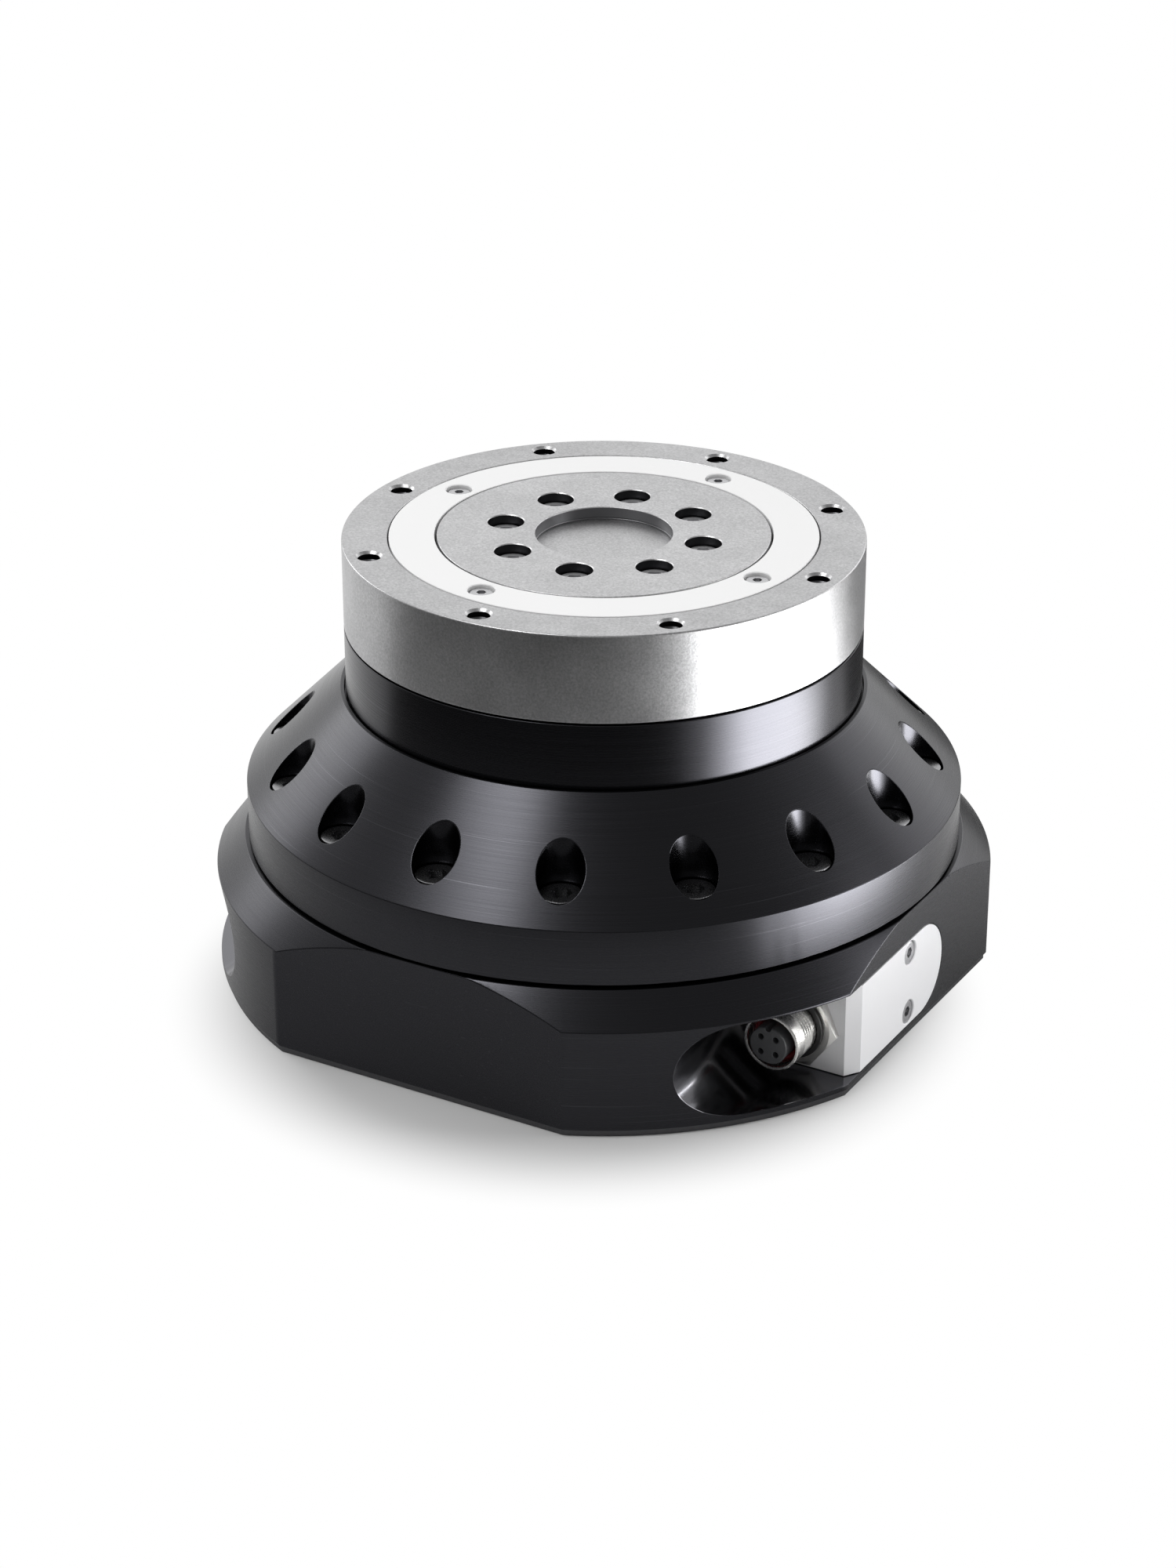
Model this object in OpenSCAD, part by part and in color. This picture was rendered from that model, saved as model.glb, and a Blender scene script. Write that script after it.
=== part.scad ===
// Rotary platform: a direct-drive turntable on a crossed-roller bearing.
// Origin at the centre of the underside, +Z up the axis of rotation. Millimetres.

/* [Platform] */
// Height of the silver platform ring
platform_h = 27.8; // [26:0.2:34]
// Chamfer on the outer edges of the platform ring
platform_chamfer = 0.6; // [0.3:0.1:1.5]
// Tap drill radius of the platform's mounting threads
platform_thread_r = 3.4; // [2.5:0.1:4.25]
// Distance of the mounting threads from the platform's edge
platform_thread_inset = 6.85; // [5.5:0.05:7.5]
// Depth of the mounting threads
platform_thread_depth = 20; // [10:1:20]
// Number of mounting threads
platform_thread_count = 8; // [4:4:12]
// Angle by which the centre disc and cover ring are set round from the threads
centre_turn = 13.4; // [0:0.1:45]

/* [Cover ring] */
// Width of the silver rim round the cover ring
rim_w = 14.05; // [12.5:0.05:16]
// Width of the recess that takes the cover ring
cover_w = 14.65; // [13:0.05:16]
// Thickness of the cover ring
cover_t = 5; // [4:0.2:7]
// Distance of the cover ring's screws from its inner edge
cover_screw_inset = 6.7; // [5.5:0.1:8]
// Number of cover ring screws
cover_screw_count = 4; // [2:1:8]

/* [Centre disc] */
// Thickness of the centre disc
hub_t = 17; // [15:0.5:18]
// Distance of the disc's screws from the shaft's bore
hub_screw_inset = 9.35; // [8.5:0.05:12]
// Number of screws through the disc
hub_screw_count = 8; // [4:1:10]
// Radius of the shallow pilot recess in the disc
pilot_r = 21; // [15:0.5:22]
// Depth of the pilot recess
pilot_depth = 4; // [2:0.5:8]
// Chamfer round the disc and round the pilot recess
hub_chamfer = 0.7; // [0.3:0.1:1.2]
// Thickness of the platform's web between the disc and the shaft
web_t = 6; // [5:0.5:7]

/* [Neck and cone housing] */
// Height of the black neck above the cone housing
neck_h = 20.4; // [19:0.2:26]
// Running gap between neck and platform
seam_gap = 0.5; // [0.3:0.1:1.5]
// Depth of the neck's seat in the cone housing
neck_depth = 8.3; // [6:0.1:9]
// Width of the flat land at the top of the cone
cone_land = 1.15; // [0.6:0.05:3]
// Horizontal reach of the housing beyond the neck
cone_run = 31.7; // [31:0.1:36]
// Height of the upright band
band_h = 17.4; // [12:0.2:18]
// Height of the sloping part
cone_rise = 30.1; // [29:0.1:33]
// Distance of the screws through the cone from the band
housing_screw_inset = 12.8; // [11:0.1:14]
// Number of screws through the cone
housing_screw_count = 16; // [8:4:16]
// Thickness of the ledge that carries the neck
ledge_t = 8; // [6:0.5:9]

/* [Base] */
// Distance by which the band stands over the base's flats
band_over = 0.1; // [0.05:0.05:0.5]
// Depth of the four flats cut into the round base
flat_depth = 10.5; // [9:0.1:12]
// Width of the sloping edge round the base
base_chamfer = 9.2; // [6:0.2:9.6]
// Solid height over the connector pockets
pocket_roof = 10; // [9:0.2:14]
// Shadow gap between base and cone housing
joint_gap = 0.8; // [0.4:0.1:1.2]
// Wall between the base's cavity and the connector pockets
cavity_wall = 5.2; // [4:0.1:7]
// Thickness of the closing plate underneath
plate_t = 2.2; // [2:0.1:4]
// Step of the closing plate inside the base's outline
plate_inset = 0.8; // [0.2:0.1:2]
// Distance of the plate's cable opening from the shaft's bore
opening_margin = 2; // [0.5:0.5:4]
// Number of screws in the closing plate
plate_screw_count = 6; // [3:3:9]
// Tap drill radius of the base's mounting threads
base_thread_r = 4.25; // [3.4:0.05:4.5]
// Distance of the base's mounting threads from its cavity
base_thread_inset = 23; // [20:0.5:25]
// Depth of the base's mounting threads
base_thread_depth = 20; // [10:1:24]

/* [Connector pocket] */
// Radius of the milled pocket
pocket_r = 15; // [14.5:0.1:15.5]
// Thickness of the lip under the pocket
pocket_lip = 1.8; // [1.5:0.1:3]
// Depth of the pocket's axis behind the flat
pocket_inset = 19.4; // [18.5:0.1:20]
// Length of the bracket's straight part
bracket_l = 46; // [42:0.5:50]
// Bevel on the bracket's front corner
bracket_bevel = 3.5; // [1:0.1:6]
// Distance of the bracket's screws from its rounded end's centre
bracket_screw_y = 8.3; // [6:0.1:9]
// Half the distance between the bracket's screws
bracket_screw_z = 10.2; // [9.6:0.1:10.4]

/* [Connector] */
// Outer radius of the connector's shell
shell_r = 9; // [8.5:0.1:9.6]
// Wall of the shell round its mouth
shell_wall = 1; // [0.8:0.1:1.2]
// Length by which the shell stands out of the bracket
shell_out = 16.2; // [14:0.2:18]
// Depth of the shell inside the bracket
shell_in = 20; // [14:0.5:22]
// Depth of the ring-shaped mouth
mouth_depth = 10.5; // [8:0.5:12]
// Radius of the contact insert
insert_r = 6; // [5.6:0.1:6.2]
// Height by which the insert stands out of the shell
insert_out = 0.9; // [0.4:0.1:1.5]
// Radius of the circle of contacts
contact_pcr = 3.5; // [3:0.1:4]
// Radius of each contact hole
contact_r = 0.65; // [0.4:0.05:0.9]
// Width across the flats of the lock nut
nut_af = 22; // [21:0.5:23]
// Thickness of the lock nut
nut_t = 3.5; // [2.5:0.1:5]

/* [Bearing] */
// Bore radius of the crossed-roller bearing
bearing_bore_r = 50; // [44:0.5:58]
// Radial thickness of the bearing
bearing_section = 20; // [18:0.5:22]
// Wall of the neck round the bearing
neck_wall = 10; // [9:0.25:12]
// Width of the bearing
bearing_w = 16; // [15.5:0.1:17]
// Side of the square track that the rollers run in
track = 8; // [7:0.1:8.4]
// Number of rollers
roller_count = 30; // [24:2:32]
// Thickness of the plate that holds the outer ring down
retainer_t = 3; // [2.6:0.1:4]
// Number of screws in the retainer and in the neck
neck_screw_count = 8; // [6:1:12]

/* [Motor] */
// Radius of the hollow shaft's bore
shaft_bore_r = 22; // [18:0.5:23]
// Step from the bearing's bore down to the shaft's lower tube
shaft_step = 12; // [9:0.5:14]
// Wall between the stator and the screws through the cone
stator_wall = 5.75; // [4:0.05:8]
// Radial thickness of the stator
stator_section = 29; // [27:0.5:33]
// Length of the stator core
stator_l = 19; // [16:0.5:22]
// Gap between magnets and stator
air_gap = 0.9; // [0.7:0.1:1.4]
// Thickness of the rotor magnets
magnet_t = 3; // [2:0.1:3.5]
// Number of stator teeth
tooth_count = 24; // [18:6:24]
// Width of each stator tooth
tooth_w = 7; // [5:0.2:7.4]
// Number of magnets
magnet_count = 28; // [20:4:32]

/* [Clearances] */
// Gap round a screw's shank in its thread
thread_gap = 0.05; // [0.02:0.01:0.1]
// Gap round a screw's shank in a plain hole
bolt_gap = 0.3; // [0.15:0.05:0.5]
// Gap round a screw's head in its counterbore
head_gap = 0.65; // [0.2:0.05:0.8]
// Gap round a turned spigot in its bore
fit_gap = 0.05; // [0.02:0.01:0.1]
// Gap round parts that drop into a recess
drop_gap = 0.2; // [0.1:0.05:0.4]
// Gap between roller and track
roller_gap = 0.05; // [0.03:0.01:0.1]

/* [Hidden] */
$fn = 96;
eps = 0.1;

// Screw sizes and how far their ends reach into the metal
m4 = 4;
m5 = 5;
m6 = 6;
m8 = 8;
m4_bite = 7;
m5_bite = 12;
m6_bite = 15.5;
tap_runout = 2;

function head_r(d) = (1.5 * d + 1) / 2;

// Radii from the bearing outwards
bearing_outer_r = bearing_bore_r + bearing_section;
platform_r = bearing_outer_r + neck_wall;
cover_recess_r = platform_r - rim_w;
hub_recess_r = cover_recess_r - cover_w;
platform_thread_pcr = platform_r - platform_thread_inset;
cover_screw_pcr = hub_recess_r + cover_screw_inset;
hub_screw_pcr = shaft_bore_r + hub_screw_inset;
shaft_tube_r = bearing_bore_r - shaft_step;
band_r = platform_r + cone_run;
flat_d = band_r - band_over;
base_r = flat_d + flat_depth;
housing_screw_pcr = band_r - housing_screw_inset;
pocket_x = flat_d - pocket_inset;
cavity_r = pocket_x - pocket_r - cavity_wall;
plate_opening_r = shaft_bore_r + opening_margin;
plate_screw_inset = 8;
plate_screw_pcr = cavity_r + plate_screw_inset;
base_thread_pcr = cavity_r + base_thread_inset;
stator_r = housing_screw_pcr - head_r(m8) - head_gap - stator_wall;
stator_bore_r = stator_r - stator_section;

// Height of each seam above the underside
z_pocket = plate_t + pocket_lip + pocket_r;
z_pocket_top = z_pocket + pocket_r;
z_base = z_pocket_top + pocket_roof;
z_joint = z_base + joint_gap;
z_band = z_joint + band_h;
z_cone = z_band + cone_rise;
z_neck = z_cone + neck_h;
z_platform = z_neck + seam_gap;
z_top = z_platform + platform_h;

// Heights inside the platform and the bearing
z_cover = z_top - cover_t;
z_hub = z_top - hub_t;
z_shaft_top = z_hub - web_t;
z_bearing_top = z_neck - retainer_t;
z_bearing = z_bearing_top - bearing_w;
z_rollers = z_bearing + bearing_w / 2;
z_ledge_top = z_cone - neck_depth;
z_ledge = z_ledge_top - ledge_t;
hub_head_depth = 2.8;
cover_head_depth = 0.8;
z_hub_screw = z_top - hub_head_depth - m6;
z_cover_screw = z_top - cover_head_depth - 0.7 * m4;
web_bore_r = shaft_bore_r - 1;

// Radii round the bearing
split_gap = 0.5;
skirt_wall = 8.2;
shoulder_w = 7;
step_w = 4;
track_reach = track / 2 * sqrt(2);
pitch_r = (bearing_bore_r + bearing_outer_r) / 2;
inner_land_r = pitch_r - split_gap;
outer_land_r = pitch_r + split_gap;
neck_lip = 2.5;
neck_seat_step = 0.5;
retainer_r = platform_r - neck_lip;
neck_seat_r = platform_r - neck_seat_step;
neck_bore_r = bearing_outer_r - step_w;
neck_screw_pcr = (bearing_outer_r + retainer_r) / 2;
skirt_r = bearing_bore_r + skirt_wall;
seal_w = 2.6;
seal_r = skirt_r + seal_w + 2 * fit_gap;
neck_relief_gap = 0.45;
neck_relief_h = 1.8;

// Motor
winding_room = 10;
winding_over = 3.5;
stator_step = 4;
shaft_journal_r = bearing_bore_r - fit_gap;
waist_step = 8;
shoulder_t = 5.7;
magnet_r = stator_bore_r - air_gap;
magnet_seat_r = magnet_r - magnet_t;
shaft_waist_r = magnet_seat_r - waist_step;
z_stator_top = z_ledge - winding_room;
z_stator = z_stator_top - stator_l;
magnet_overhang = 1;
z_shaft = plate_t + 1.8;
yoke_w = 12;
tooth_tip = 3.5;
slot_mouth = 3;
coil_w = 3.4;
coil_inset = 1;

// Housing joint
spigot_h = 4.5;
spigot_wall = 4;
spigot_r = stator_r + spigot_wall;
recess_r = spigot_r + fit_gap;
base_land_step = 2.7;
base_land_r = band_r - base_land_step;
counterbore_seat = 15.2;
z_housing_screw = z_joint + counterbore_seat;
roof_skin = 2;
screw_end_gap = 0.4;

// Encoder and electronics
board_lift = 11.8;
z_board = plate_t + board_lift;
board_t = 1.6;
board_gap = 4;
board_r = cavity_r - board_gap;
board_bore_gap = 10;
board_bore_r = shaft_tube_r + board_bore_gap;
encoder_lift = 14;
z_encoder = z_board + encoder_lift;
encoder_t = 2;
encoder_gap = 14;
encoder_r = cavity_r - encoder_gap;
encoder_collar_w = 8;
encoder_collar_r = shaft_tube_r + encoder_collar_w;
encoder_collar_h = 8;
head_w = 18;
head_wall_gap = 1;
head_outer_x = cavity_r - head_wall_gap;
head_reach = 6;
head_inner_x = encoder_r - head_reach;
head_top = 6.2;
head_h = z_encoder + encoder_t + head_top - plate_t;
head_slot = 5;
standoff_r = 3.5;
seal_lip_h = 6.8;
seal_lip_w = 8;
capacitor_r = 4;
capacitor_h = 10;
chip_l = 12;
chip_w = 10;
chip_h = 2;
socket_w = 8;
socket_h = 3;

// Connector
bracket_gap = 0.3;
bracket_r = pocket_r - bracket_gap;
bracket_screw_reach = 30;
bracket_head_depth = 0.4;
cable_hole_r = 5;
cable_y = -26;
thread_pitch = 1.5;
thread_turns = 4;
thread_depth = 0.45;
thread_depth_in = 9.5;
seal_t = 1.5;
shell_bore_r = shell_r - shell_wall;
y_face = -bracket_l - shell_out;

function ring_points(count, r, start) =
    [for (i = [0 : count - 1]) [r * cos(start + i * 360 / count), r * sin(start + i * 360 / count)]];

// Places its child at equal steps round the axis
module round_axis(count, r, start, z) {
    for (p = ring_points(count, r, start)) translate([p[0], p[1], z]) children();
}

// Plain hole from z = -depth to z = 0
module hole(r, depth) {
    translate([0, 0, -depth]) cylinder(r = r, h = depth + eps);
}

// Screw with a socket head that stands on z = 0 and a shank below it
module cap_screw(d, length, head_h) {
    difference() {
        rotate_extrude() polygon([
            [0, -length], [d / 2 - thread_gap - 0.4, -length], [d / 2 - thread_gap, -length + 0.4],
            [d / 2 - thread_gap, 0], [head_r(d), 0], [head_r(d), head_h - 0.3],
            [head_r(d) - 0.3, head_h], [0, head_h]]);
        translate([0, 0, head_h * 0.45])
            cylinder(r = 0.75 * d / 2 / cos(30), h = head_h, $fn = 6);
    }
}

// Screw with a flat countersunk head whose face lies on z = 0
module flat_screw(d, length) {
    difference() {
        rotate_extrude() polygon([
            [0, -length], [d / 2 - thread_gap, -length], [d / 2 - thread_gap, -d / 2 + 0.2],
            [head_r(d) + 0.1, -0.3], [head_r(d) + 0.1, 0], [0, 0]]);
        translate([0, 0, -0.4 * d]) cylinder(r = 0.5 * d / 2 / cos(30), h = d, $fn = 6);
    }
}

// Countersunk hole that takes flat_screw
module flat_screw_hole(d, depth) {
    hole(d / 2 + bolt_gap, depth);
    rotate_extrude() polygon([
        [0, -d / 2], [d / 2 + bolt_gap, -d / 2], [d / 2 + bolt_gap, -d / 2 + 0.1],
        [head_r(d) + 0.3, -0.3], [head_r(d) + 0.3, eps], [0, eps]]);
}

// Flat-sided round outline of the base, stepped in by inset
module base_outline(inset) {
    intersection() {
        circle(r = base_r - inset);
        square(2 * (flat_d - inset), center = true);
    }
}

// ---- turning parts ----

module platform_ring() {
    c = platform_chamfer;
    color("#c9c9ca") difference() {
        rotate_extrude() polygon([
            [platform_r, z_platform + c], [platform_r, z_top - c], [platform_r - c, z_top],
            [cover_recess_r + c / 2, z_top], [cover_recess_r, z_top - c / 2],
            [cover_recess_r, z_cover], [hub_recess_r, z_cover], [hub_recess_r, z_hub],
            [web_bore_r, z_hub], [web_bore_r, z_shaft_top],
            [bearing_bore_r, z_shaft_top], [bearing_bore_r, z_bearing_top],
            [skirt_r, z_bearing_top], [skirt_r, z_platform], [platform_r - c, z_platform]]);
        round_axis(platform_thread_count, platform_thread_pcr, 0, z_top) {
            hole(platform_thread_r, platform_thread_depth);
            rotate_extrude() polygon([
                [0, -1.2], [platform_thread_r, -1.2], [platform_thread_r + 1.2 + eps, eps], [0, eps]]);
        }
        round_axis(hub_screw_count, hub_screw_pcr, centre_turn, z_hub)
            hole(m6 / 2 + bolt_gap, web_t + eps);
        round_axis(cover_screw_count, cover_screw_pcr, 67.9 + centre_turn, z_cover)
            hole(m4 / 2, m4_bite + tap_runout);
    }
}

module cover_ring() {
    r_out = cover_recess_r - drop_gap;
    r_in = hub_recess_r + drop_gap;
    color("#f4f4f4") difference() {
        rotate_extrude() polygon([
            [r_in, z_cover], [r_out, z_cover], [r_out, z_top - 0.3], [r_out - 0.3, z_top],
            [r_in + 0.3, z_top], [r_in, z_top - 0.3]]);
        round_axis(cover_screw_count, cover_screw_pcr, 67.9 + centre_turn, 0) {
            translate([0, 0, z_cover - eps]) cylinder(r = m4 / 2 + bolt_gap, h = cover_t);
            translate([0, 0, z_cover_screw]) cylinder(r = head_r(m4) + head_gap, h = cover_t);
        }
    }
}

module cover_ring_screws() {
    color("#b9b9bb") round_axis(cover_screw_count, cover_screw_pcr, 67.9 + centre_turn, z_cover_screw)
        cap_screw(m4, z_cover_screw - z_cover + m4_bite, 0.7 * m4);
}

module hub_disc() {
    c = hub_chamfer;
    r = hub_recess_r - drop_gap - 0.1;
    color("#bdbdbe") difference() {
        rotate_extrude() polygon([
            [0, z_shaft_top], [web_bore_r - fit_gap - c, z_shaft_top],
            [web_bore_r - fit_gap, z_shaft_top + c], [web_bore_r - fit_gap, z_hub],
            [r, z_hub], [r, z_top - c], [r - c, z_top], [pilot_r + c, z_top], [pilot_r, z_top - c],
            [pilot_r, z_top - pilot_depth], [0, z_top - pilot_depth]]);
        round_axis(hub_screw_count, hub_screw_pcr, centre_turn, 0) {
            translate([0, 0, z_hub - eps]) cylinder(r = m6 / 2 + bolt_gap, h = hub_t);
            translate([0, 0, z_hub_screw]) cylinder(r = head_r(m6) + head_gap, h = hub_t);
        }
    }
}

module hub_disc_screws() {
    color("#8f8f92") round_axis(hub_screw_count, hub_screw_pcr, centre_turn, z_hub_screw)
        cap_screw(m6, z_hub_screw - z_shaft_top + m6_bite, m6);
}

module rotor_shaft() {
    color("#9fa3a8") difference() {
        rotate_extrude() polygon([
            [shaft_bore_r, z_shaft], [shaft_tube_r, z_shaft], [shaft_tube_r, z_stator - 3],
            [magnet_seat_r, z_stator - 3], [magnet_seat_r, z_stator_top + magnet_overhang],
            [shaft_waist_r, z_stator_top + magnet_overhang + 4], [shaft_waist_r, z_bearing - shoulder_t],
            [bearing_bore_r + shoulder_w, z_bearing - shoulder_t],
            [bearing_bore_r + shoulder_w, z_bearing],
            [shaft_journal_r, z_bearing], [shaft_journal_r, z_shaft_top],
            [shaft_bore_r, z_shaft_top]]);
        round_axis(hub_screw_count, hub_screw_pcr, centre_turn, z_shaft_top)
            hole(m6 / 2, m6_bite + tap_runout);
    }
}

module bearing_inner_ring() {
    reach = pitch_r - track_reach;
    v = inner_land_r - reach;
    color("#a9adb2") rotate_extrude() polygon([
        [bearing_bore_r, z_bearing], [inner_land_r, z_bearing], [inner_land_r, z_rollers - v],
        [reach, z_rollers], [inner_land_r, z_rollers + v], [inner_land_r, z_bearing_top],
        [bearing_bore_r, z_bearing_top]]);
}

module rotor_magnets() {
    slit = 1.2;
    color("#7c7f84") translate([0, 0, z_stator]) linear_extrude(stator_l) difference() {
        circle(r = magnet_r);
        circle(r = magnet_seat_r);
        for (i = [0 : magnet_count - 1]) rotate(i * 360 / magnet_count)
            translate([magnet_seat_r - 1, -slit / 2]) square([magnet_t + 2, slit]);
    }
}

module encoder_disc() {
    color("#6f8f9c") rotate_extrude() polygon([
        [shaft_tube_r, z_encoder], [encoder_r, z_encoder], [encoder_r, z_encoder + encoder_t],
        [encoder_collar_r, z_encoder + encoder_t],
        [encoder_collar_r, z_encoder + encoder_t + encoder_collar_h],
        [shaft_tube_r, z_encoder + encoder_t + encoder_collar_h]]);
}

// ---- rollers and their spacers ----

module bearing_rollers() {
    color("#c2c6ca") for (i = [0 : roller_count - 1]) rotate(i * 360 / roller_count)
        translate([pitch_r, 0, z_rollers]) rotate([0, i % 2 == 0 ? 45 : -45, 0])
            cylinder(r = track / 2 - roller_gap, h = track - 8 * roller_gap, center = true);
}

module bearing_spacers() {
    spacing = 2 * PI * pitch_r / roller_count - track;
    color("#d8c9a0") for (i = [0 : roller_count - 1]) rotate((i + 0.5) * 360 / roller_count)
        translate([pitch_r, 0, z_rollers]) rotate([0, 45, 0])
            cube([track - 1, spacing - 1.2, track - 1], center = true);
}

// ---- fixed housing ----

// Pocket or bracket shape: a slot along -Y with a round inner side, whose outer half
// ends in a round nose about the X axis
module pocket_shape(r, x_out, y_out) {
    translate([pocket_x, 0, z_pocket]) {
        rotate([90, 0, 0]) linear_extrude(y_out) intersection() {
            circle(r = r);
            translate([-r - 1, -r - 1]) square([r + 1, 2 * r + 2]);
        }
        rotate([0, 90, 0]) linear_extrude(x_out - pocket_x) {
            circle(r = r);
            translate([-r, -y_out]) square([2 * r, y_out]);
        }
    }
}

module on_side(side) {
    if (side > 0) children();
    else mirror([1, 0, 0]) children();
}

module base_housing() {
    color("#232326") difference() {
        intersection() {
            rotate_extrude() polygon([
                [cavity_r, plate_t], [base_r, plate_t], [base_r, z_base - base_chamfer],
                [base_r - base_chamfer, z_base], [base_land_r, z_base], [base_land_r, z_joint],
                [recess_r, z_joint], [recess_r, z_joint - spigot_h - 0.3],
                [cavity_r, z_joint - spigot_h - 0.3]]);
            translate([-flat_d, -flat_d, 0]) cube([2 * flat_d, 2 * flat_d, z_joint + 1]);
        }
        for (side = [1, -1]) on_side(side) {
            pocket_shape(pocket_r, base_r + 1, base_r + 10);
            translate([cavity_r - 8, cable_y, z_pocket]) rotate([0, 90, 0])
                cylinder(r = cable_hole_r, h = pocket_x - cavity_r);
            for (s = [1, -1]) translate([0, -bracket_screw_y, z_pocket + s * bracket_screw_z])
                rotate([0, 90, 0])
                    translate([0, 0, flat_d - m4 - bracket_head_depth - bracket_screw_reach - 1])
                        cylinder(r = m4 / 2, h = bracket_screw_reach);
        }
        round_axis(housing_screw_count, housing_screw_pcr, 0, z_joint)
            hole(m8 / 2, z_joint - z_pocket_top - roof_skin);
        round_axis(4, base_thread_pcr, 45, plate_t + base_thread_depth)
            hole(base_thread_r, base_thread_depth + eps);
        round_axis(plate_screw_count, plate_screw_pcr, 30, plate_t + m4_bite + tap_runout)
            hole(m4 / 2, m4_bite + tap_runout + eps);
    }
}

module bottom_plate() {
    color("#3b3b3e") difference() {
        linear_extrude(plate_t) base_outline(plate_inset);
        translate([0, 0, -eps]) cylinder(r = plate_opening_r, h = plate_t + 1);
        round_axis(4, base_thread_pcr, 45, plate_t + eps) hole(base_thread_r + 1.25, plate_t + 1);
        round_axis(plate_screw_count, plate_screw_pcr, 30, 0)
            mirror([0, 0, 1]) flat_screw_hole(m4, plate_t + eps);
    }
}

module bottom_plate_screws() {
    color("#505054") round_axis(plate_screw_count, plate_screw_pcr, 30, 0.1)
        mirror([0, 0, 1]) flat_screw(m4, plate_t + m4_bite);
}

module cone_housing() {
    r_top = platform_r + neck_relief_gap + cone_land;
    c = 0.5;
    color("#2a2a2e") difference() {
        rotate_extrude() polygon([
            [band_r - c, z_joint], [band_r, z_joint + c], [band_r, z_band], [r_top, z_cone],
            [platform_r + neck_relief_gap, z_cone],
            [platform_r + neck_relief_gap, z_cone - neck_relief_h],
            [neck_seat_r + fit_gap, z_cone - neck_relief_h], [neck_seat_r + fit_gap, z_ledge_top],
            [neck_bore_r, z_ledge_top], [neck_bore_r, z_ledge],
            [stator_r - stator_step, z_ledge], [stator_r - stator_step, z_stator_top],
            [stator_r, z_stator_top], [stator_r, z_joint - spigot_h],
            [spigot_r, z_joint - spigot_h], [spigot_r, z_joint]]);
        round_axis(housing_screw_count, housing_screw_pcr, 0, z_housing_screw) {
            hole(m8 / 2 + bolt_gap, counterbore_seat + eps);
            cylinder(r = head_r(m8) + head_gap, h = cone_rise + band_h);
        }
        round_axis(neck_screw_count, neck_screw_pcr, 22.5, z_ledge_top + eps)
            hole(m5 / 2 + bolt_gap, ledge_t + 1);
    }
}

module cone_housing_screws() {
    reach = z_housing_screw - z_pocket_top - roof_skin - screw_end_gap;
    color("#3a3a3e") round_axis(housing_screw_count, housing_screw_pcr, 0, z_housing_screw)
        cap_screw(m8, reach, m8);
}

module neck_ring() {
    c = 0.8;
    step = z_cone - neck_relief_h + 0.5;
    color("#26262a") difference() {
        rotate_extrude() polygon([
            [neck_bore_r, z_ledge_top], [neck_seat_r, z_ledge_top], [neck_seat_r, step],
            [platform_r, step], [platform_r, z_neck - c], [platform_r - c, z_neck],
            [retainer_r, z_neck], [retainer_r, z_bearing_top],
            [bearing_outer_r, z_bearing_top], [bearing_outer_r, z_bearing],
            [neck_bore_r, z_bearing]]);
        round_axis(neck_screw_count, neck_screw_pcr, 22.5, z_ledge_top + m5_bite + 1)
            hole(m5 / 2, m5_bite + 1 + eps);
        round_axis(neck_screw_count, neck_screw_pcr, 22.5, z_bearing_top)
            hole(m4 / 2, m4_bite + tap_runout);
    }
}

module neck_ring_screws() {
    color("#3a3a3e") round_axis(neck_screw_count, neck_screw_pcr, 22.5, z_ledge)
        mirror([0, 0, 1]) cap_screw(m5, ledge_t + m5_bite, m5);
}

module bearing_outer_ring() {
    reach = pitch_r + track_reach;
    v = reach - outer_land_r;
    half_gap = 0.1;
    color("#a9adb2") {
        rotate_extrude() polygon([
            [outer_land_r, z_bearing], [bearing_outer_r, z_bearing],
            [bearing_outer_r, z_rollers - half_gap], [reach - half_gap, z_rollers - half_gap],
            [outer_land_r, z_rollers - v]]);
        rotate_extrude() polygon([
            [outer_land_r, z_bearing_top], [bearing_outer_r, z_bearing_top],
            [bearing_outer_r, z_rollers + half_gap], [reach - half_gap, z_rollers + half_gap],
            [outer_land_r, z_rollers + v]]);
    }
}

module bearing_retainer() {
    color("#86898e") difference() {
        rotate_extrude() polygon([
            [seal_r, z_bearing_top], [retainer_r - fit_gap, z_bearing_top],
            [retainer_r - fit_gap, z_neck], [seal_r, z_neck]]);
        round_axis(neck_screw_count, neck_screw_pcr, 22.5, z_neck)
            flat_screw_hole(m4, retainer_t + eps);
    }
}

module retainer_screws() {
    color("#3a3a3e") round_axis(neck_screw_count, neck_screw_pcr, 22.5, z_neck - 0.05)
        flat_screw(m4, retainer_t + m4_bite);
}

module platform_seal() {
    color("#1a1a1a") rotate_extrude() polygon([
        [skirt_r + fit_gap, z_bearing_top + 0.3], [seal_r, z_bearing_top + 0.3],
        [seal_r, z_neck], [skirt_r + fit_gap, z_neck]]);
}

module stator_core() {
    half = 180 / tooth_count;
    r_in = stator_bore_r + tooth_tip;
    r_out = stator_r - yoke_w;
    function slot_half(r) = r * tan(half) - tooth_w / 2 / cos(half);
    color("#8a8c90") translate([0, 0, z_stator]) linear_extrude(stator_l) difference() {
        circle(r = stator_r);
        circle(r = stator_bore_r);
        for (i = [0 : tooth_count - 1]) rotate((i + 0.5) * 2 * half) {
            polygon([[r_in, -slot_half(r_in)], [r_out, -slot_half(r_out)],
                     [r_out, slot_half(r_out)], [r_in, slot_half(r_in)]]);
            translate([stator_bore_r - 1, -slot_mouth / 2]) square([tooth_tip + 1.5, slot_mouth]);
        }
    }
}

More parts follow.
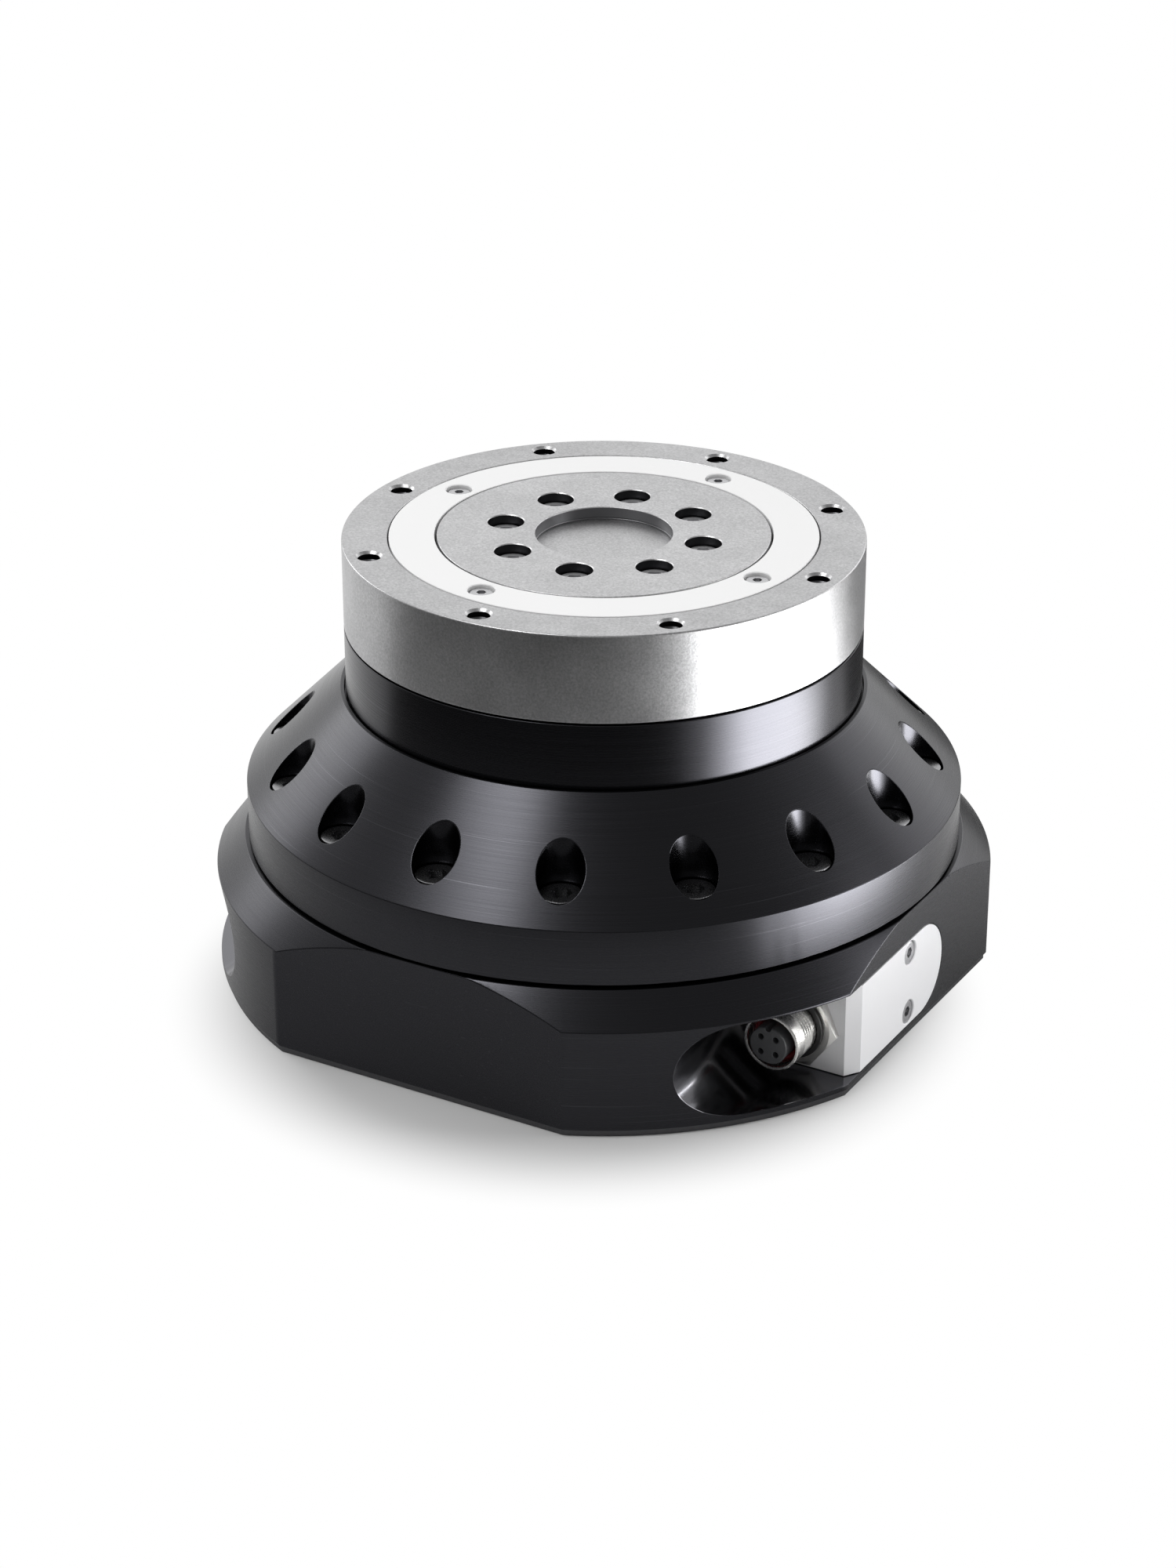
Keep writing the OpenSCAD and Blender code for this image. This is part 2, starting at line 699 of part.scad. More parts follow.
module stator_windings() {
    r_in = stator_bore_r + tooth_tip + coil_inset;
    l = stator_r - yoke_w - coil_inset - r_in;
    w = tooth_w + 2 * coil_w;
    color("#b8733a") for (i = [0 : tooth_count - 1]) rotate(i * 360 / tooth_count)
        translate([r_in, 0, z_stator]) difference() {
            translate([0, -w / 2, -winding_over]) cube([l, w, stator_l + 2 * winding_over]);
            translate([-1, -tooth_w / 2, 0]) cube([l + 2, tooth_w, stator_l]);
        }
}

module shaft_seal() {
    color("#1a1a1a") rotate_extrude() polygon([
        [shaft_tube_r + fit_gap, plate_t], [shaft_tube_r + seal_lip_w, plate_t],
        [shaft_tube_r + seal_lip_w, plate_t + seal_lip_h],
        [shaft_tube_r + fit_gap, plate_t + seal_lip_h]]);
}

module encoder_read_head() {
    color("#4a5560") difference() {
        translate([-head_outer_x, -head_w / 2, plate_t])
            cube([head_outer_x - head_inner_x, head_w, head_h]);
        translate([0, 0, z_encoder + encoder_t / 2 - head_slot / 2])
            cylinder(r = encoder_r + 1.5, h = head_slot);
    }
}

module drive_board() {
    color("#1f5c3a") difference() {
        translate([0, 0, z_board]) cylinder(r = board_r, h = board_t);
        translate([0, 0, z_board - eps]) cylinder(r = board_bore_r, h = board_t + 1);
        translate([-cavity_r, -head_w / 2 - 1, z_board - eps])
            cube([cavity_r - head_inner_x + 1, head_w + 2, board_t + 1]);
    }
}

module board_components() {
    z = z_board + board_t;
    r = (board_r + board_bore_r) / 2;
    color("#33363a") {
        for (a = [20 : 40 : 140]) rotate(a) translate([r, 0, z])
            cylinder(r = capacitor_r, h = capacitor_h);
        for (a = [220 : 35 : 325]) rotate(a) translate([r - chip_w / 2, -chip_l / 2, z])
            cube([chip_w, chip_l, chip_h]);
        for (a = [40 : 40 : 120]) rotate(a) translate([r - socket_w / 2, -socket_w / 2, z])
            cube([socket_w, socket_w, socket_h]);
    }
}

module board_standoffs() {
    color("#c9b26a") round_axis(4, board_r - standoff_r - 1, 45, plate_t)
        cylinder(r = standoff_r, h = z_board - plate_t);
}

// ---- connectors, one set on each side ----

module bracket(side) {
    color("#e9e9ea") on_side(side) difference() {
        intersection() {
            pocket_shape(bracket_r, flat_d, bracket_l);
            linear_extrude(z_pocket_top + 1) polygon([
                [0, pocket_r + 1], [flat_d + 1, pocket_r + 1],
                [flat_d + 1, -bracket_l + bracket_bevel + 1.2],
                [flat_d - bracket_bevel + 0.4, -bracket_l], [0, -bracket_l]]);
        }
        translate([pocket_x, -bracket_l, z_pocket]) rotate([90, 0, 0])
            translate([0, 0, -shell_in - 2]) cylinder(r = shell_r + fit_gap, h = shell_in + 3);
        translate([pocket_x - pocket_r - 1, cable_y, z_pocket]) rotate([0, 90, 0])
            cylinder(r = cable_hole_r, h = pocket_r + 1);
        for (s = [1, -1]) translate([flat_d, -bracket_screw_y, z_pocket + s * bracket_screw_z])
            rotate([0, 90, 0]) {
                hole(m4 / 2 + bolt_gap, pocket_inset + pocket_r);
                hole(head_r(m4) + head_gap / 2, m4 + bracket_head_depth);
            }
    }
}

module bracket_screws(side) {
    color("#b9b9bb") on_side(side) for (s = [1, -1])
        translate([flat_d - m4 - bracket_head_depth, -bracket_screw_y, z_pocket + s * bracket_screw_z])
            rotate([0, 90, 0]) cap_screw(m4, bracket_screw_reach, m4);
}

// Everything on the connector's axis: z = 0 at the bracket's face, +z out of the pocket
module connector_axis(side) {
    on_side(side) translate([pocket_x, -bracket_l, z_pocket]) rotate([90, 0, 0]) children();
}

module connector_shell(side) {
    groove_start = shell_out - thread_depth_in;
    color("#c6c7c9") connector_axis(side) rotate_extrude() polygon(concat(
        [[insert_r + fit_gap, -shell_in], [shell_r, -shell_in]],
        [for (i = [0 : thread_turns - 1]) each [
            [shell_r, groove_start + i * thread_pitch * 0.8],
            [shell_r - thread_depth, groove_start + (i + 0.35) * thread_pitch * 0.8],
            [shell_r, groove_start + (i + 0.7) * thread_pitch * 0.8]]],
        [[shell_r, shell_out - 0.3], [shell_r - 0.3, shell_out],
         [shell_bore_r, shell_out], [shell_bore_r, shell_out - mouth_depth],
         [insert_r + fit_gap, shell_out - mouth_depth]]));
}

module connector_insert(side) {
    color("#4b4d50") connector_axis(side) difference() {
        translate([0, 0, -shell_in]) cylinder(r = insert_r, h = shell_in + shell_out + insert_out);
        for (a = [45 : 90 : 315]) rotate(a) translate([contact_pcr, 0, shell_out + insert_out])
            hole(contact_r, 8);
        translate([-0.8, insert_r - 1.1, shell_out - mouth_depth + 2])
            cube([1.6, 2, mouth_depth]);
    }
}

module connector_nut(side) {
    color("#cfd0d2") connector_axis(side) difference() {
        rotate(15) cylinder(r = nut_af / 2 / cos(30), h = nut_t, $fn = 6);
        translate([0, 0, -eps]) cylinder(r = shell_r + fit_gap, h = nut_t + 1);
    }
}

module connector_seals(side) {
    cord = (shell_bore_r - insert_r) / 2 - fit_gap;
    color("#7c2226") connector_axis(side) {
        translate([0, 0, shell_out - mouth_depth + cord]) rotate_extrude()
            translate([(shell_bore_r + insert_r) / 2, 0]) circle(r = cord);
        translate([0, 0, nut_t]) difference() {
            cylinder(r = shell_r + 1.6, h = seal_t);
            translate([0, 0, -eps]) cylinder(r = shell_r + fit_gap, h = seal_t + 1);
        }
    }
}

platform_ring();
cover_ring();
cover_ring_screws();
hub_disc();
hub_disc_screws();
rotor_shaft();
bearing_inner_ring();
rotor_magnets();
encoder_disc();
bearing_rollers();
bearing_spacers();
base_housing();
bottom_plate();
bottom_plate_screws();
cone_housing();
cone_housing_screws();
neck_ring();
neck_ring_screws();
bearing_outer_ring();
bearing_retainer();
retainer_screws();
platform_seal();
stator_core();
stator_windings();
shaft_seal();
encoder_read_head();
drive_board();
board_components();
board_standoffs();
bracket(1);  // bracket_right
bracket_screws(1);  // bracket_screws_right
connector_shell(1);  // connector_shell_right
connector_insert(1);  // connector_insert_right
connector_nut(1);  // connector_nut_right
connector_seals(1);  // connector_seals_right
bracket(-1);  // bracket_left
bracket_screws(-1);  // bracket_screws_left
connector_shell(-1);  // connector_shell_left
connector_insert(-1);  // connector_insert_left
connector_nut(-1);  // connector_nut_left
connector_seals(-1);  // connector_seals_left
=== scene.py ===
import math
import bpy
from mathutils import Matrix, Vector


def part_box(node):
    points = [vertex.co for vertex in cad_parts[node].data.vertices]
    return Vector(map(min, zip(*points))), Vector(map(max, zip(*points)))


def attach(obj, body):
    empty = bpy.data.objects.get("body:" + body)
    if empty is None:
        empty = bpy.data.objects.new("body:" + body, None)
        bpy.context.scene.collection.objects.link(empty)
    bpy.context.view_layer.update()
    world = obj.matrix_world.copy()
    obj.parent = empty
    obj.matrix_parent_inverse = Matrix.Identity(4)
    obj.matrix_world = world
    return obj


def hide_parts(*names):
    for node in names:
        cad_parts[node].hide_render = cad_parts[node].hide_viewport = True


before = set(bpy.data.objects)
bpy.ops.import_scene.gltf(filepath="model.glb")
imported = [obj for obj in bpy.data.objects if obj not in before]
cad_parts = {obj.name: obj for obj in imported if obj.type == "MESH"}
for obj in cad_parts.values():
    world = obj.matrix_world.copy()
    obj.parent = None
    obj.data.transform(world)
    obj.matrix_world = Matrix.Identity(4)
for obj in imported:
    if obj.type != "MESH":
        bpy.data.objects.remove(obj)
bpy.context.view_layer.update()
mm = 0.001  # every size below is in millimetres, and Blender works in metres
samePoint = 0.001  # points that lie closer than this are merged
print("frame loaded:", len(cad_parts), "nodes")


# small helpers

def deselectAll():
    for item in bpy.context.selected_objects:
        item.select_set(False)


def makeActive(piece):
    deselectAll()
    piece.select_set(True)
    bpy.context.view_layer.objects.active = piece


def editAll():
    bpy.ops.object.mode_set(mode="EDIT")
    bpy.ops.mesh.select_all(action="SELECT")


def leaveEditing():
    bpy.ops.object.mode_set(mode="OBJECT")


def applyTransforms(piece):
    makeActive(piece)
    bpy.ops.object.transform_apply(location=True, rotation=True, scale=True)


def span(node):
    # lowest and highest corner of a CAD node, in millimetres
    low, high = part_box(node)
    return low / mm, high / mm


def around(count, radius, startAngle, height):
    # points at equal steps round the axis
    points = []
    for step in range(count):
        angle = math.radians(startAngle + step * 360 / count)
        points.append(Vector((radius * math.cos(angle), radius * math.sin(angle), height)))
    return points


def nearest(spot, places):
    # level distance from a spot to the closest of the places
    return min((spot.xy - place.xy).length for place in places)


def drawn(name, points):
    # a closed loop of edges through points in millimetres, drawn by extruding one vertex
    deselectAll()
    bpy.ops.mesh.primitive_plane_add(size=mm)
    piece = bpy.context.active_object
    piece.name = name
    bpy.ops.object.mode_set(mode="EDIT")
    bpy.ops.mesh.select_mode(type="VERT")
    bpy.ops.mesh.select_all(action="SELECT")
    bpy.ops.mesh.merge(type="CENTER")
    bpy.ops.transform.translate(value=Vector(points[0]) * mm)
    here = Vector(points[0]) * mm
    for point in list(points[1:]) + [points[0]]:
        there = Vector(point) * mm
        bpy.ops.mesh.extrude_vertices_move(TRANSFORM_OT_translate={"value": there - here})
        here = there
    bpy.ops.mesh.select_all(action="SELECT")
    bpy.ops.mesh.remove_doubles(threshold=samePoint * mm)
    leaveEditing()
    return piece


def turned(name, outline, steps=256):
    # a closed outline of (radius, height) points, spun round the axis
    piece = drawn(name, [(radius, 0, height) for radius, height in outline])
    editAll()
    bpy.ops.mesh.spin(steps=steps, angle=2 * math.pi, center=(0, 0, 0), axis=(0, 0, 1))
    bpy.ops.mesh.select_all(action="SELECT")
    bpy.ops.mesh.remove_doubles(threshold=samePoint * mm)
    bpy.ops.mesh.normals_make_consistent(inside=False)
    leaveEditing()
    return piece


def pushed(name, points, shift):
    # a closed flat outline, filled and extruded by the shift in millimetres
    piece = drawn(name, points)
    editAll()
    bpy.ops.mesh.edge_face_add()
    bpy.ops.mesh.extrude_region_move(TRANSFORM_OT_translate={"value": Vector(shift) * mm})
    bpy.ops.mesh.select_all(action="SELECT")
    bpy.ops.mesh.normals_make_consistent(inside=False)
    leaveEditing()
    return piece


def copied(piece, name, place=(0, 0, 0), turn=(0, 0, 0)):
    # a copy with its own mesh, turned in degrees about the axes and then moved
    makeActive(piece)
    bpy.ops.object.duplicate()
    twin = bpy.context.active_object
    twin.name = name
    twin.rotation_euler = [math.radians(angle) for angle in turn]
    twin.location = Vector(place) * mm
    applyTransforms(twin)
    return twin


def joined(pieces, name):
    deselectAll()
    for piece in pieces:
        piece.select_set(True)
    bpy.context.view_layer.objects.active = pieces[0]
    if len(pieces) > 1:
        bpy.ops.object.join()
    pieces[0].name = name
    return pieces[0]


def repeated(piece, name, places, turn=(0, 0, 0)):
    # one copy at each place, joined into one object, with the first one removed
    copies = [copied(piece, name + "Copy", place, turn) for place in places]
    bpy.data.objects.remove(piece)
    return joined(copies, name)


def carve(piece, cutter, operation="DIFFERENCE"):
    makeActive(piece)
    modifier = piece.modifiers.new("carve", "BOOLEAN")
    modifier.operation = operation
    modifier.solver = "EXACT"
    modifier.object = cutter
    bpy.ops.object.modifier_apply(modifier=modifier.name)
    bpy.data.objects.remove(cutter)


def roundEdges(piece, width, segments=2, angle=28):
    # breaks every edge that is sharper than the angle, as a deburring pass does
    makeActive(piece)
    modifier = piece.modifiers.new("edge", "BEVEL")
    modifier.width = width * mm
    modifier.segments = segments
    modifier.limit_method = "ANGLE"
    modifier.angle_limit = math.radians(angle)
    modifier.harden_normals = False
    modifier.miter_outer = "MITER_ARC"
    bpy.ops.object.modifier_apply(modifier=modifier.name)


def weld(piece, distance):
    makeActive(piece)
    editAll()
    bpy.ops.mesh.remove_doubles(threshold=distance * mm)
    bpy.ops.mesh.dissolve_degenerate(threshold=distance * mm)
    leaveEditing()


def cleaned(piece, flatness=0.3):
    # takes out the edges that a cut leaves where faces turn by less than this many degrees
    makeActive(piece)
    editAll()
    bpy.ops.mesh.dissolve_limited(angle_limit=math.radians(flatness))
    leaveEditing()


def smoothed(piece, angle=32):
    # smooth shading whose normals follow the large faces, so that holes leave no streaks
    makeActive(piece)
    bpy.ops.object.shade_smooth_by_angle(angle=math.radians(angle))
    modifier = piece.modifiers.new("normals", "WEIGHTED_NORMAL")
    modifier.weight = 100
    modifier.keep_sharp = True
    bpy.ops.object.modifier_apply(modifier=modifier.name)


def followShape(piece, clean, chosen):
    # the chosen vertices are shaded as on an uncut copy of the shape, so that cuts leave no seams
    group = piece.vertex_groups.new(name="face")
    onFace = [vertex.index for vertex in piece.data.vertices if chosen(vertex.co / mm)]
    group.add(onFace, 1.0, "REPLACE")
    makeActive(piece)
    modifier = piece.modifiers.new("follow", "DATA_TRANSFER")
    modifier.object = clean
    modifier.use_loop_data = True
    modifier.data_types_loops = {"CUSTOM_NORMAL"}
    modifier.loop_mapping = "POLYINTERP_NEAREST"
    modifier.vertex_group = group.name
    bpy.ops.object.modifier_apply(modifier=modifier.name)
    bpy.data.objects.remove(clean)


def mirroredCopy(piece, name):
    # the same piece on the other side of the X = 0 plane, with its faces outwards again
    twin = copied(piece, name)
    twin.scale = (-1, 1, 1)
    applyTransforms(twin)
    editAll()
    bpy.ops.mesh.normals_make_consistent(inside=False)
    leaveEditing()
    smoothed(twin, 30)
    return twin


def squareCutter(side, middle, height):
    # an upright block round the axis, which leaves the four flats of what it is intersected with
    bpy.ops.mesh.primitive_cube_add(size=1, location=(0, 0, middle * mm))
    block = bpy.context.active_object
    block.scale = (side * mm, side * mm, height * mm)
    applyTransforms(block)
    return block


def cylinder(corners, radius, height, place, turn=0):
    # an upright cylinder or prism, turned in degrees round its own axis
    deselectAll()
    bpy.ops.mesh.primitive_cylinder_add(
        vertices=corners, radius=radius * mm, depth=height * mm,
        location=[side * mm for side in place], rotation=(0, 0, math.radians(turn)))
    piece = bpy.context.active_object
    applyTransforms(piece)
    return piece


def paintFaces(piece, material, chosen):
    # a second finish for the faces that the test chooses by their middle (in mm) and normal
    piece.data.materials.append(material)
    place = len(piece.data.materials) - 1
    for face in piece.data.polygons:
        if chosen(face.center / mm, face.normal):
            face.material_index = place


def finishPiece(piece, node, body, material):
    piece.data.materials.clear()
    piece.data.materials.append(material)
    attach(piece, body)
    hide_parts(node)


# camera

cameraSettings = {
    "azimuth": 29.74,      # degrees round from the front flat
    "distance": 1052.5,    # mm from the axis, level
    "height": 561.65,      # mm above the floor
    "tilt": 25.67,         # degrees downwards
    "lens": 85.18,         # mm on a 36 mm long side
    "shift": -0.0102,
}


def makeCamera(settings):
    angle = math.radians(settings["azimuth"])
    place = Vector((math.sin(angle) * settings["distance"],
                    -math.cos(angle) * settings["distance"], settings["height"])) * mm
    turn = (math.radians(90 - settings["tilt"]), 0, angle)
    bpy.ops.object.camera_add(location=place, rotation=turn)
    camera = bpy.context.active_object
    camera.data.lens = settings["lens"]
    camera.data.sensor_width = 36
    camera.data.shift_x = settings["shift"]
    camera.data.clip_end = 50
    bpy.context.scene.camera = camera


makeCamera(cameraSettings)
print("camera placed")


# materials

def linearColour(hexText):
    values = [int(hexText[place:place + 2], 16) / 255 for place in (1, 3, 5)]
    return [v / 12.92 if v <= 0.04045 else ((v + 0.055) / 1.055) ** 2.4 for v in values] + [1.0]


def link(tree, item, links):
    for socket, source in links.items():
        tree.links.new(source, item.inputs[socket])


def addNode(tree, kind, settings=None, links=None):
    item = tree.nodes.new(kind)
    for name, value in (settings or {}).items():
        if isinstance(name, str) and hasattr(item, name):
            setattr(item, name, value)
        else:
            item.inputs[name].default_value = value
    link(tree, item, links or {})
    return item


def newMaterial(name, colour, metallic, roughness):
    material = bpy.data.materials.new(name)
    material.use_nodes = True
    tree = material.node_tree
    shader = tree.nodes["Principled BSDF"]
    shader.inputs["Base Color"].default_value = linearColour(colour)
    shader.inputs["Metallic"].default_value = metallic
    shader.inputs["Roughness"].default_value = roughness
    material.diffuse_color = linearColour(colour)
    return material, tree, shader


def ringCoordinates(tree, spacing):
    # (radius, height, a little of the angle) in units of the spacing between turning marks
    place = addNode(tree, "ShaderNodeTexCoord").outputs["Object"]
    flat = addNode(tree, "ShaderNodeVectorMath", {"operation": "MULTIPLY", 1: (1, 1, 0)},
                   {0: place})
    radius = addNode(tree, "ShaderNodeVectorMath", {"operation": "LENGTH"}, {0: flat.outputs[0]})
    parts = addNode(tree, "ShaderNodeSeparateXYZ", None, {0: place})
    angle = addNode(tree, "ShaderNodeMath", {"operation": "ARCTAN2"},
                    {0: parts.outputs["Y"], 1: parts.outputs["X"]})
    arcShare = 0.6  # the smaller, the longer a mark runs round
    short = addNode(tree, "ShaderNodeMath", {"operation": "MULTIPLY", 1: arcShare * spacing * mm},
                    {0: angle.outputs[0]})
    ring = addNode(tree, "ShaderNodeCombineXYZ", None,
                   {"X": radius.outputs["Value"], "Y": parts.outputs["Z"], "Z": short.outputs[0]})
    scaled = addNode(tree, "ShaderNodeVectorMath", {
        "operation": "SCALE", "Scale": 1 / (spacing * mm)}, {0: ring.outputs[0]})
    return scaled.outputs[0]


# the middle part of a noise pattern, where most of its values lie
noiseSpan = {"From Min": 0.3, "From Max": 0.7}
# mm; real bead pits are 0.1 mm, and clusters of them 0.7 mm across show as salt and pepper
silverGrain = {"clusters": 0.7, "patches": 9, "drift": 30, "depth": 0.06}


def silverAnodised(name, colour, roughness):
    # aluminium, glass-bead blasted and clear anodised: dull, even, with a salt-and-pepper grain
    material, tree, shader = newMaterial(name, colour, 1.0, roughness)
    place = addNode(tree, "ShaderNodeTexCoord").outputs["Object"]
    grain = addNode(tree, "ShaderNodeTexNoise", {
        "Scale": 1 / (silverGrain["clusters"] * mm), "Detail": 3.0, "Roughness": 0.7},
        {"Vector": place})
    drift = addNode(tree, "ShaderNodeTexNoise", {
        "Scale": 1 / (silverGrain["drift"] * mm), "Detail": 3.0}, {"Vector": place})
    patches = addNode(tree, "ShaderNodeTexNoise", {
        "Scale": 1 / (silverGrain["patches"] * mm), "Detail": 3.0}, {"Vector": place})
    speckle = addNode(tree, "ShaderNodeMapRange", {**noiseSpan, "To Min": 0.72, "To Max": 1.12},
                      {"Value": grain.outputs["Fac"]})
    cloud = addNode(tree, "ShaderNodeMapRange", {**noiseSpan, "To Min": 0.95, "To Max": 1.04},
                    {"Value": patches.outputs["Fac"]})
    shade = addNode(tree, "ShaderNodeMath", {"operation": "MULTIPLY"},
                    {0: speckle.outputs[0], 1: cloud.outputs[0]})
    tint = addNode(tree, "ShaderNodeMix", {
        "data_type": "RGBA", "blend_type": "MULTIPLY", "Factor": 1.0, 6: linearColour(colour)},
        {7: shade.outputs[0]})
    rough = addNode(tree, "ShaderNodeMapRange", {
        **noiseSpan, "To Min": roughness - 0.04, "To Max": roughness + 0.05},
        {"Value": drift.outputs["Fac"]})
    bump = addNode(tree, "ShaderNodeBump", {
        "Strength": 0.45, "Distance": silverGrain["depth"] * mm}, {"Height": grain.outputs["Fac"]})
    link(tree, shader, {"Base Color": tint.outputs[2], "Roughness": rough.outputs[0],
                        "Normal": bump.outputs[0]})
    return material


def turnedMetal(name, colour, roughness, spacing, strength=0.05, scratchColour=None):
    # metal off the lathe: a satin skin that follows the tool's rings, with a few longer scratches
    material, tree, shader = newMaterial(name, colour, 1.0, roughness)
    ring = ringCoordinates(tree, spacing)
    marks = addNode(tree, "ShaderNodeTexNoise", {"Scale": 1.0, "Detail": 4.0, "Roughness": 0.7},
                    {"Vector": ring})
    rough = addNode(tree, "ShaderNodeMapRange", {
        **noiseSpan, "To Min": roughness - 0.03, "To Max": roughness + 0.03},
        {"Value": marks.outputs["Fac"]})
    bump = addNode(tree, "ShaderNodeBump", {"Strength": strength, "Distance": 0.02 * mm},
                   {"Height": marks.outputs["Fac"]})
    link(tree, shader, {"Roughness": rough.outputs[0], "Normal": bump.outputs[0]})
    if scratchColour:
        longer = addNode(tree, "ShaderNodeVectorMath",
                         {"operation": "MULTIPLY", 1: (1.6, 1.6, 2.5)}, {0: ring})
        streaks = addNode(tree, "ShaderNodeTexNoise", {"Scale": 0.8, "Detail": 1.0},
                          {"Vector": longer.outputs[0]})
        scratch = addNode(tree, "ShaderNodeMapRange", {"From Min": 0.72, "From Max": 0.80},
                          {"Value": streaks.outputs["Fac"]})
        shade = addNode(tree, "ShaderNodeMix", {
            "data_type": "RGBA", 6: linearColour(colour), 7: linearColour(scratchColour)},
            {0: scratch.outputs[0]})
        link(tree, shader, {"Base Color": shade.outputs[2]})
    return material


def plainFinish(name, colour, metallic, roughness, grainSize, strength):
    # a moulded, painted or plated skin: its grain is a faint unevenness of the gloss
    material, tree, shader = newMaterial(name, colour, metallic, roughness)
    place = addNode(tree, "ShaderNodeTexCoord").outputs["Object"]
    grain = addNode(tree, "ShaderNodeTexNoise", {"Scale": 1 / (grainSize * mm), "Detail": 3.0},
                    {"Vector": place})
    rough = addNode(tree, "ShaderNodeMapRange", {
        **noiseSpan, "To Min": roughness * 0.85, "To Max": roughness * 1.15},
        {"Value": grain.outputs["Fac"]})
    bump = addNode(tree, "ShaderNodeBump", {"Strength": strength, "Distance": 0.03 * mm},
                   {"Height": grain.outputs["Fac"]})
    link(tree, shader, {"Roughness": rough.outputs[0], "Normal": bump.outputs[0]})
    return material


silverPlatform = silverAnodised("clearAnodisedAluminium", "#b8b8b9", 0.37)
greyDisc = silverAnodised("clearAnodisedDisc", "#c0c0c1", 0.39)
# the threads deep in the platform's tapped holes are painted dark, as painted shade
cutThread = plainFinish("cutThread", "#58585a", 1.0, 0.35, 0.4, 0.2)
# the walls of the disc's counterbores are painted dark, as painted shade
counterboreShade = plainFinish("counterborePaintedShade", "#3c3c3e", 1.0, 0.4, 0.4, 0.1)
# the wall of the disc's pilot recess is painted darker than the disc, as painted shade
turnedWall = plainFinish("turnedWall", "#7c7c7e", 1.0, 0.4, 0.4, 0.1)
blackHousing = turnedMetal("blackAnodisedAluminium", "#353538", 0.27, 0.32, 0.016, "#4c4c50")
blackPlate = plainFinish("blackAnodisedSheet", "#5a5a5c", 1.0, 0.5, 0.6, 0.1)
# the connector pockets: glossier, and lighter than the housing as a painted reflection
pocketGlossAndPaintedSheen = plainFinish("polishedBlackWithPaintedSheen", "#6c6c70", 1.0, 0.16, 6, 0.05)
whiteCover = plainFinish("whiteAcetal", "#f1f1f1", 0.0, 0.45, 0.5, 0.05)
whiteBracket = plainFinish("whitePaintedAluminium", "#ececee", 0.0, 0.38, 0.5, 0.05)
brightScrew = plainFinish("stainlessSteel", "#b4b4b6", 1.0, 0.3, 0.4, 0.1)
darkScrew = plainFinish("zincNickelSteel", "#949496", 1.0, 0.28, 0.4, 0.1)
headSteel = plainFinish("brushedHeadSteel", "#c8c8ca", 1.0, 0.52, 0.4, 0.2)
nickelPlate = plainFinish("nickelPlatedBrass", "#e6e5e2", 1.0, 0.26, 1.5, 0.05)
nickelNut = plainFinish("nickelPlatedNut", "#dcdbd8", 1.0, 0.36, 0.8, 0.1)
greyInsert = plainFinish("greyNylon", "#4b4c4e", 0.0, 0.45, 0.3, 0.1)
redRubber = plainFinish("redSilicone", "#7d1f25", 0.0, 0.35, 0.5, 0.1)
blackRubber = plainFinish("blackNitrile", "#161616", 0.0, 0.5, 0.5, 0.1)
groundSteel = turnedMetal("groundBearingSteel", "#9b9da0", 0.25, 0.6, 0.04)
turnedSteel = turnedMetal("turnedSteel", "#808286", 0.35, 1.0)
magnetNickel = plainFinish("nickelMagnet", "#85878b", 1.0, 0.3, 1.0, 0.1)
stackedSteel = plainFinish("laminatedSteel", "#7a7b7e", 1.0, 0.45, 0.5, 0.3)
copperWire = plainFinish("enamelledCopper", "#b36a3c", 1.0, 0.3, 0.6, 0.4)
paleSpacer = plainFinish("mouldedAcetal", "#d9cda8", 0.0, 0.4, 0.5, 0.1)
greenBoard = plainFinish("solderMask", "#1d5a35", 0.0, 0.3, 1.0, 0.1)
darkMoulding = plainFinish("darkEpoxy", "#2b2c2f", 0.0, 0.5, 0.4, 0.1)
brassPost = plainFinish("turnedBrass", "#c3a257", 1.0, 0.3, 0.6, 0.1)
etchedScale = plainFinish("etchedSteelScale", "#7f8f98", 1.0, 0.2, 0.3, 0.1)
print("materials made")


# the platform: everything that turns and shows

ringLow, ringHigh = span("platform_ring")
coverLow, coverHigh = span("cover_ring")
hubLow, hubHigh = span("hub_disc")
neckLow, neckHigh = span("neck_ring")

platformSettings = {
    "seam": 0.5,            # gap over the neck
    "coverRecess": 66.0,
    "hubRecess": 51.3,
    "hubFloor": 17,         # depth of the disc's seat below the top
    "webBore": 22,
    "skirtInner": 50,
    "skirtOuter": 58.2,
    "edge": 0.55,           # broken outer edges
    "threadCircle": 73.15,
    "threadCount": 8,
    "threadRadius": 3.4,
    "threadCrest": 0.5,     # depth of the thread's grooves
    "threadPitch": 1.25,    # M8
    "threadDepth": 20,
    "threadChamfer": 0.75,
    "threadStart": 0.675,   # from this far down the tapped hole is painted darker, as painted shade in the hole
}


def threadedHole(name, settings):
    # the cutter of a tapped hole: rings at the thread's pitch, a drill point and a countersink
    radius = settings["threadRadius"]
    depth = settings["threadDepth"]
    pitch = settings["threadPitch"]
    chamfer = settings["threadChamfer"]
    drillPoint, runOut, lead, above = 2, 1, 0.5, 0.2
    outline = [(0, -depth - drillPoint), (radius, -depth)]
    for turn in range(int((depth - chamfer - runOut) / pitch)):
        foot = -depth + lead + turn * pitch
        outline += [(radius, foot), (radius + settings["threadCrest"], foot + pitch / 2)]
    outline += [(radius, -chamfer - above), (radius, -chamfer),
                (radius + chamfer + above, above), (0, above)]
    return turned(name, outline, steps=48)


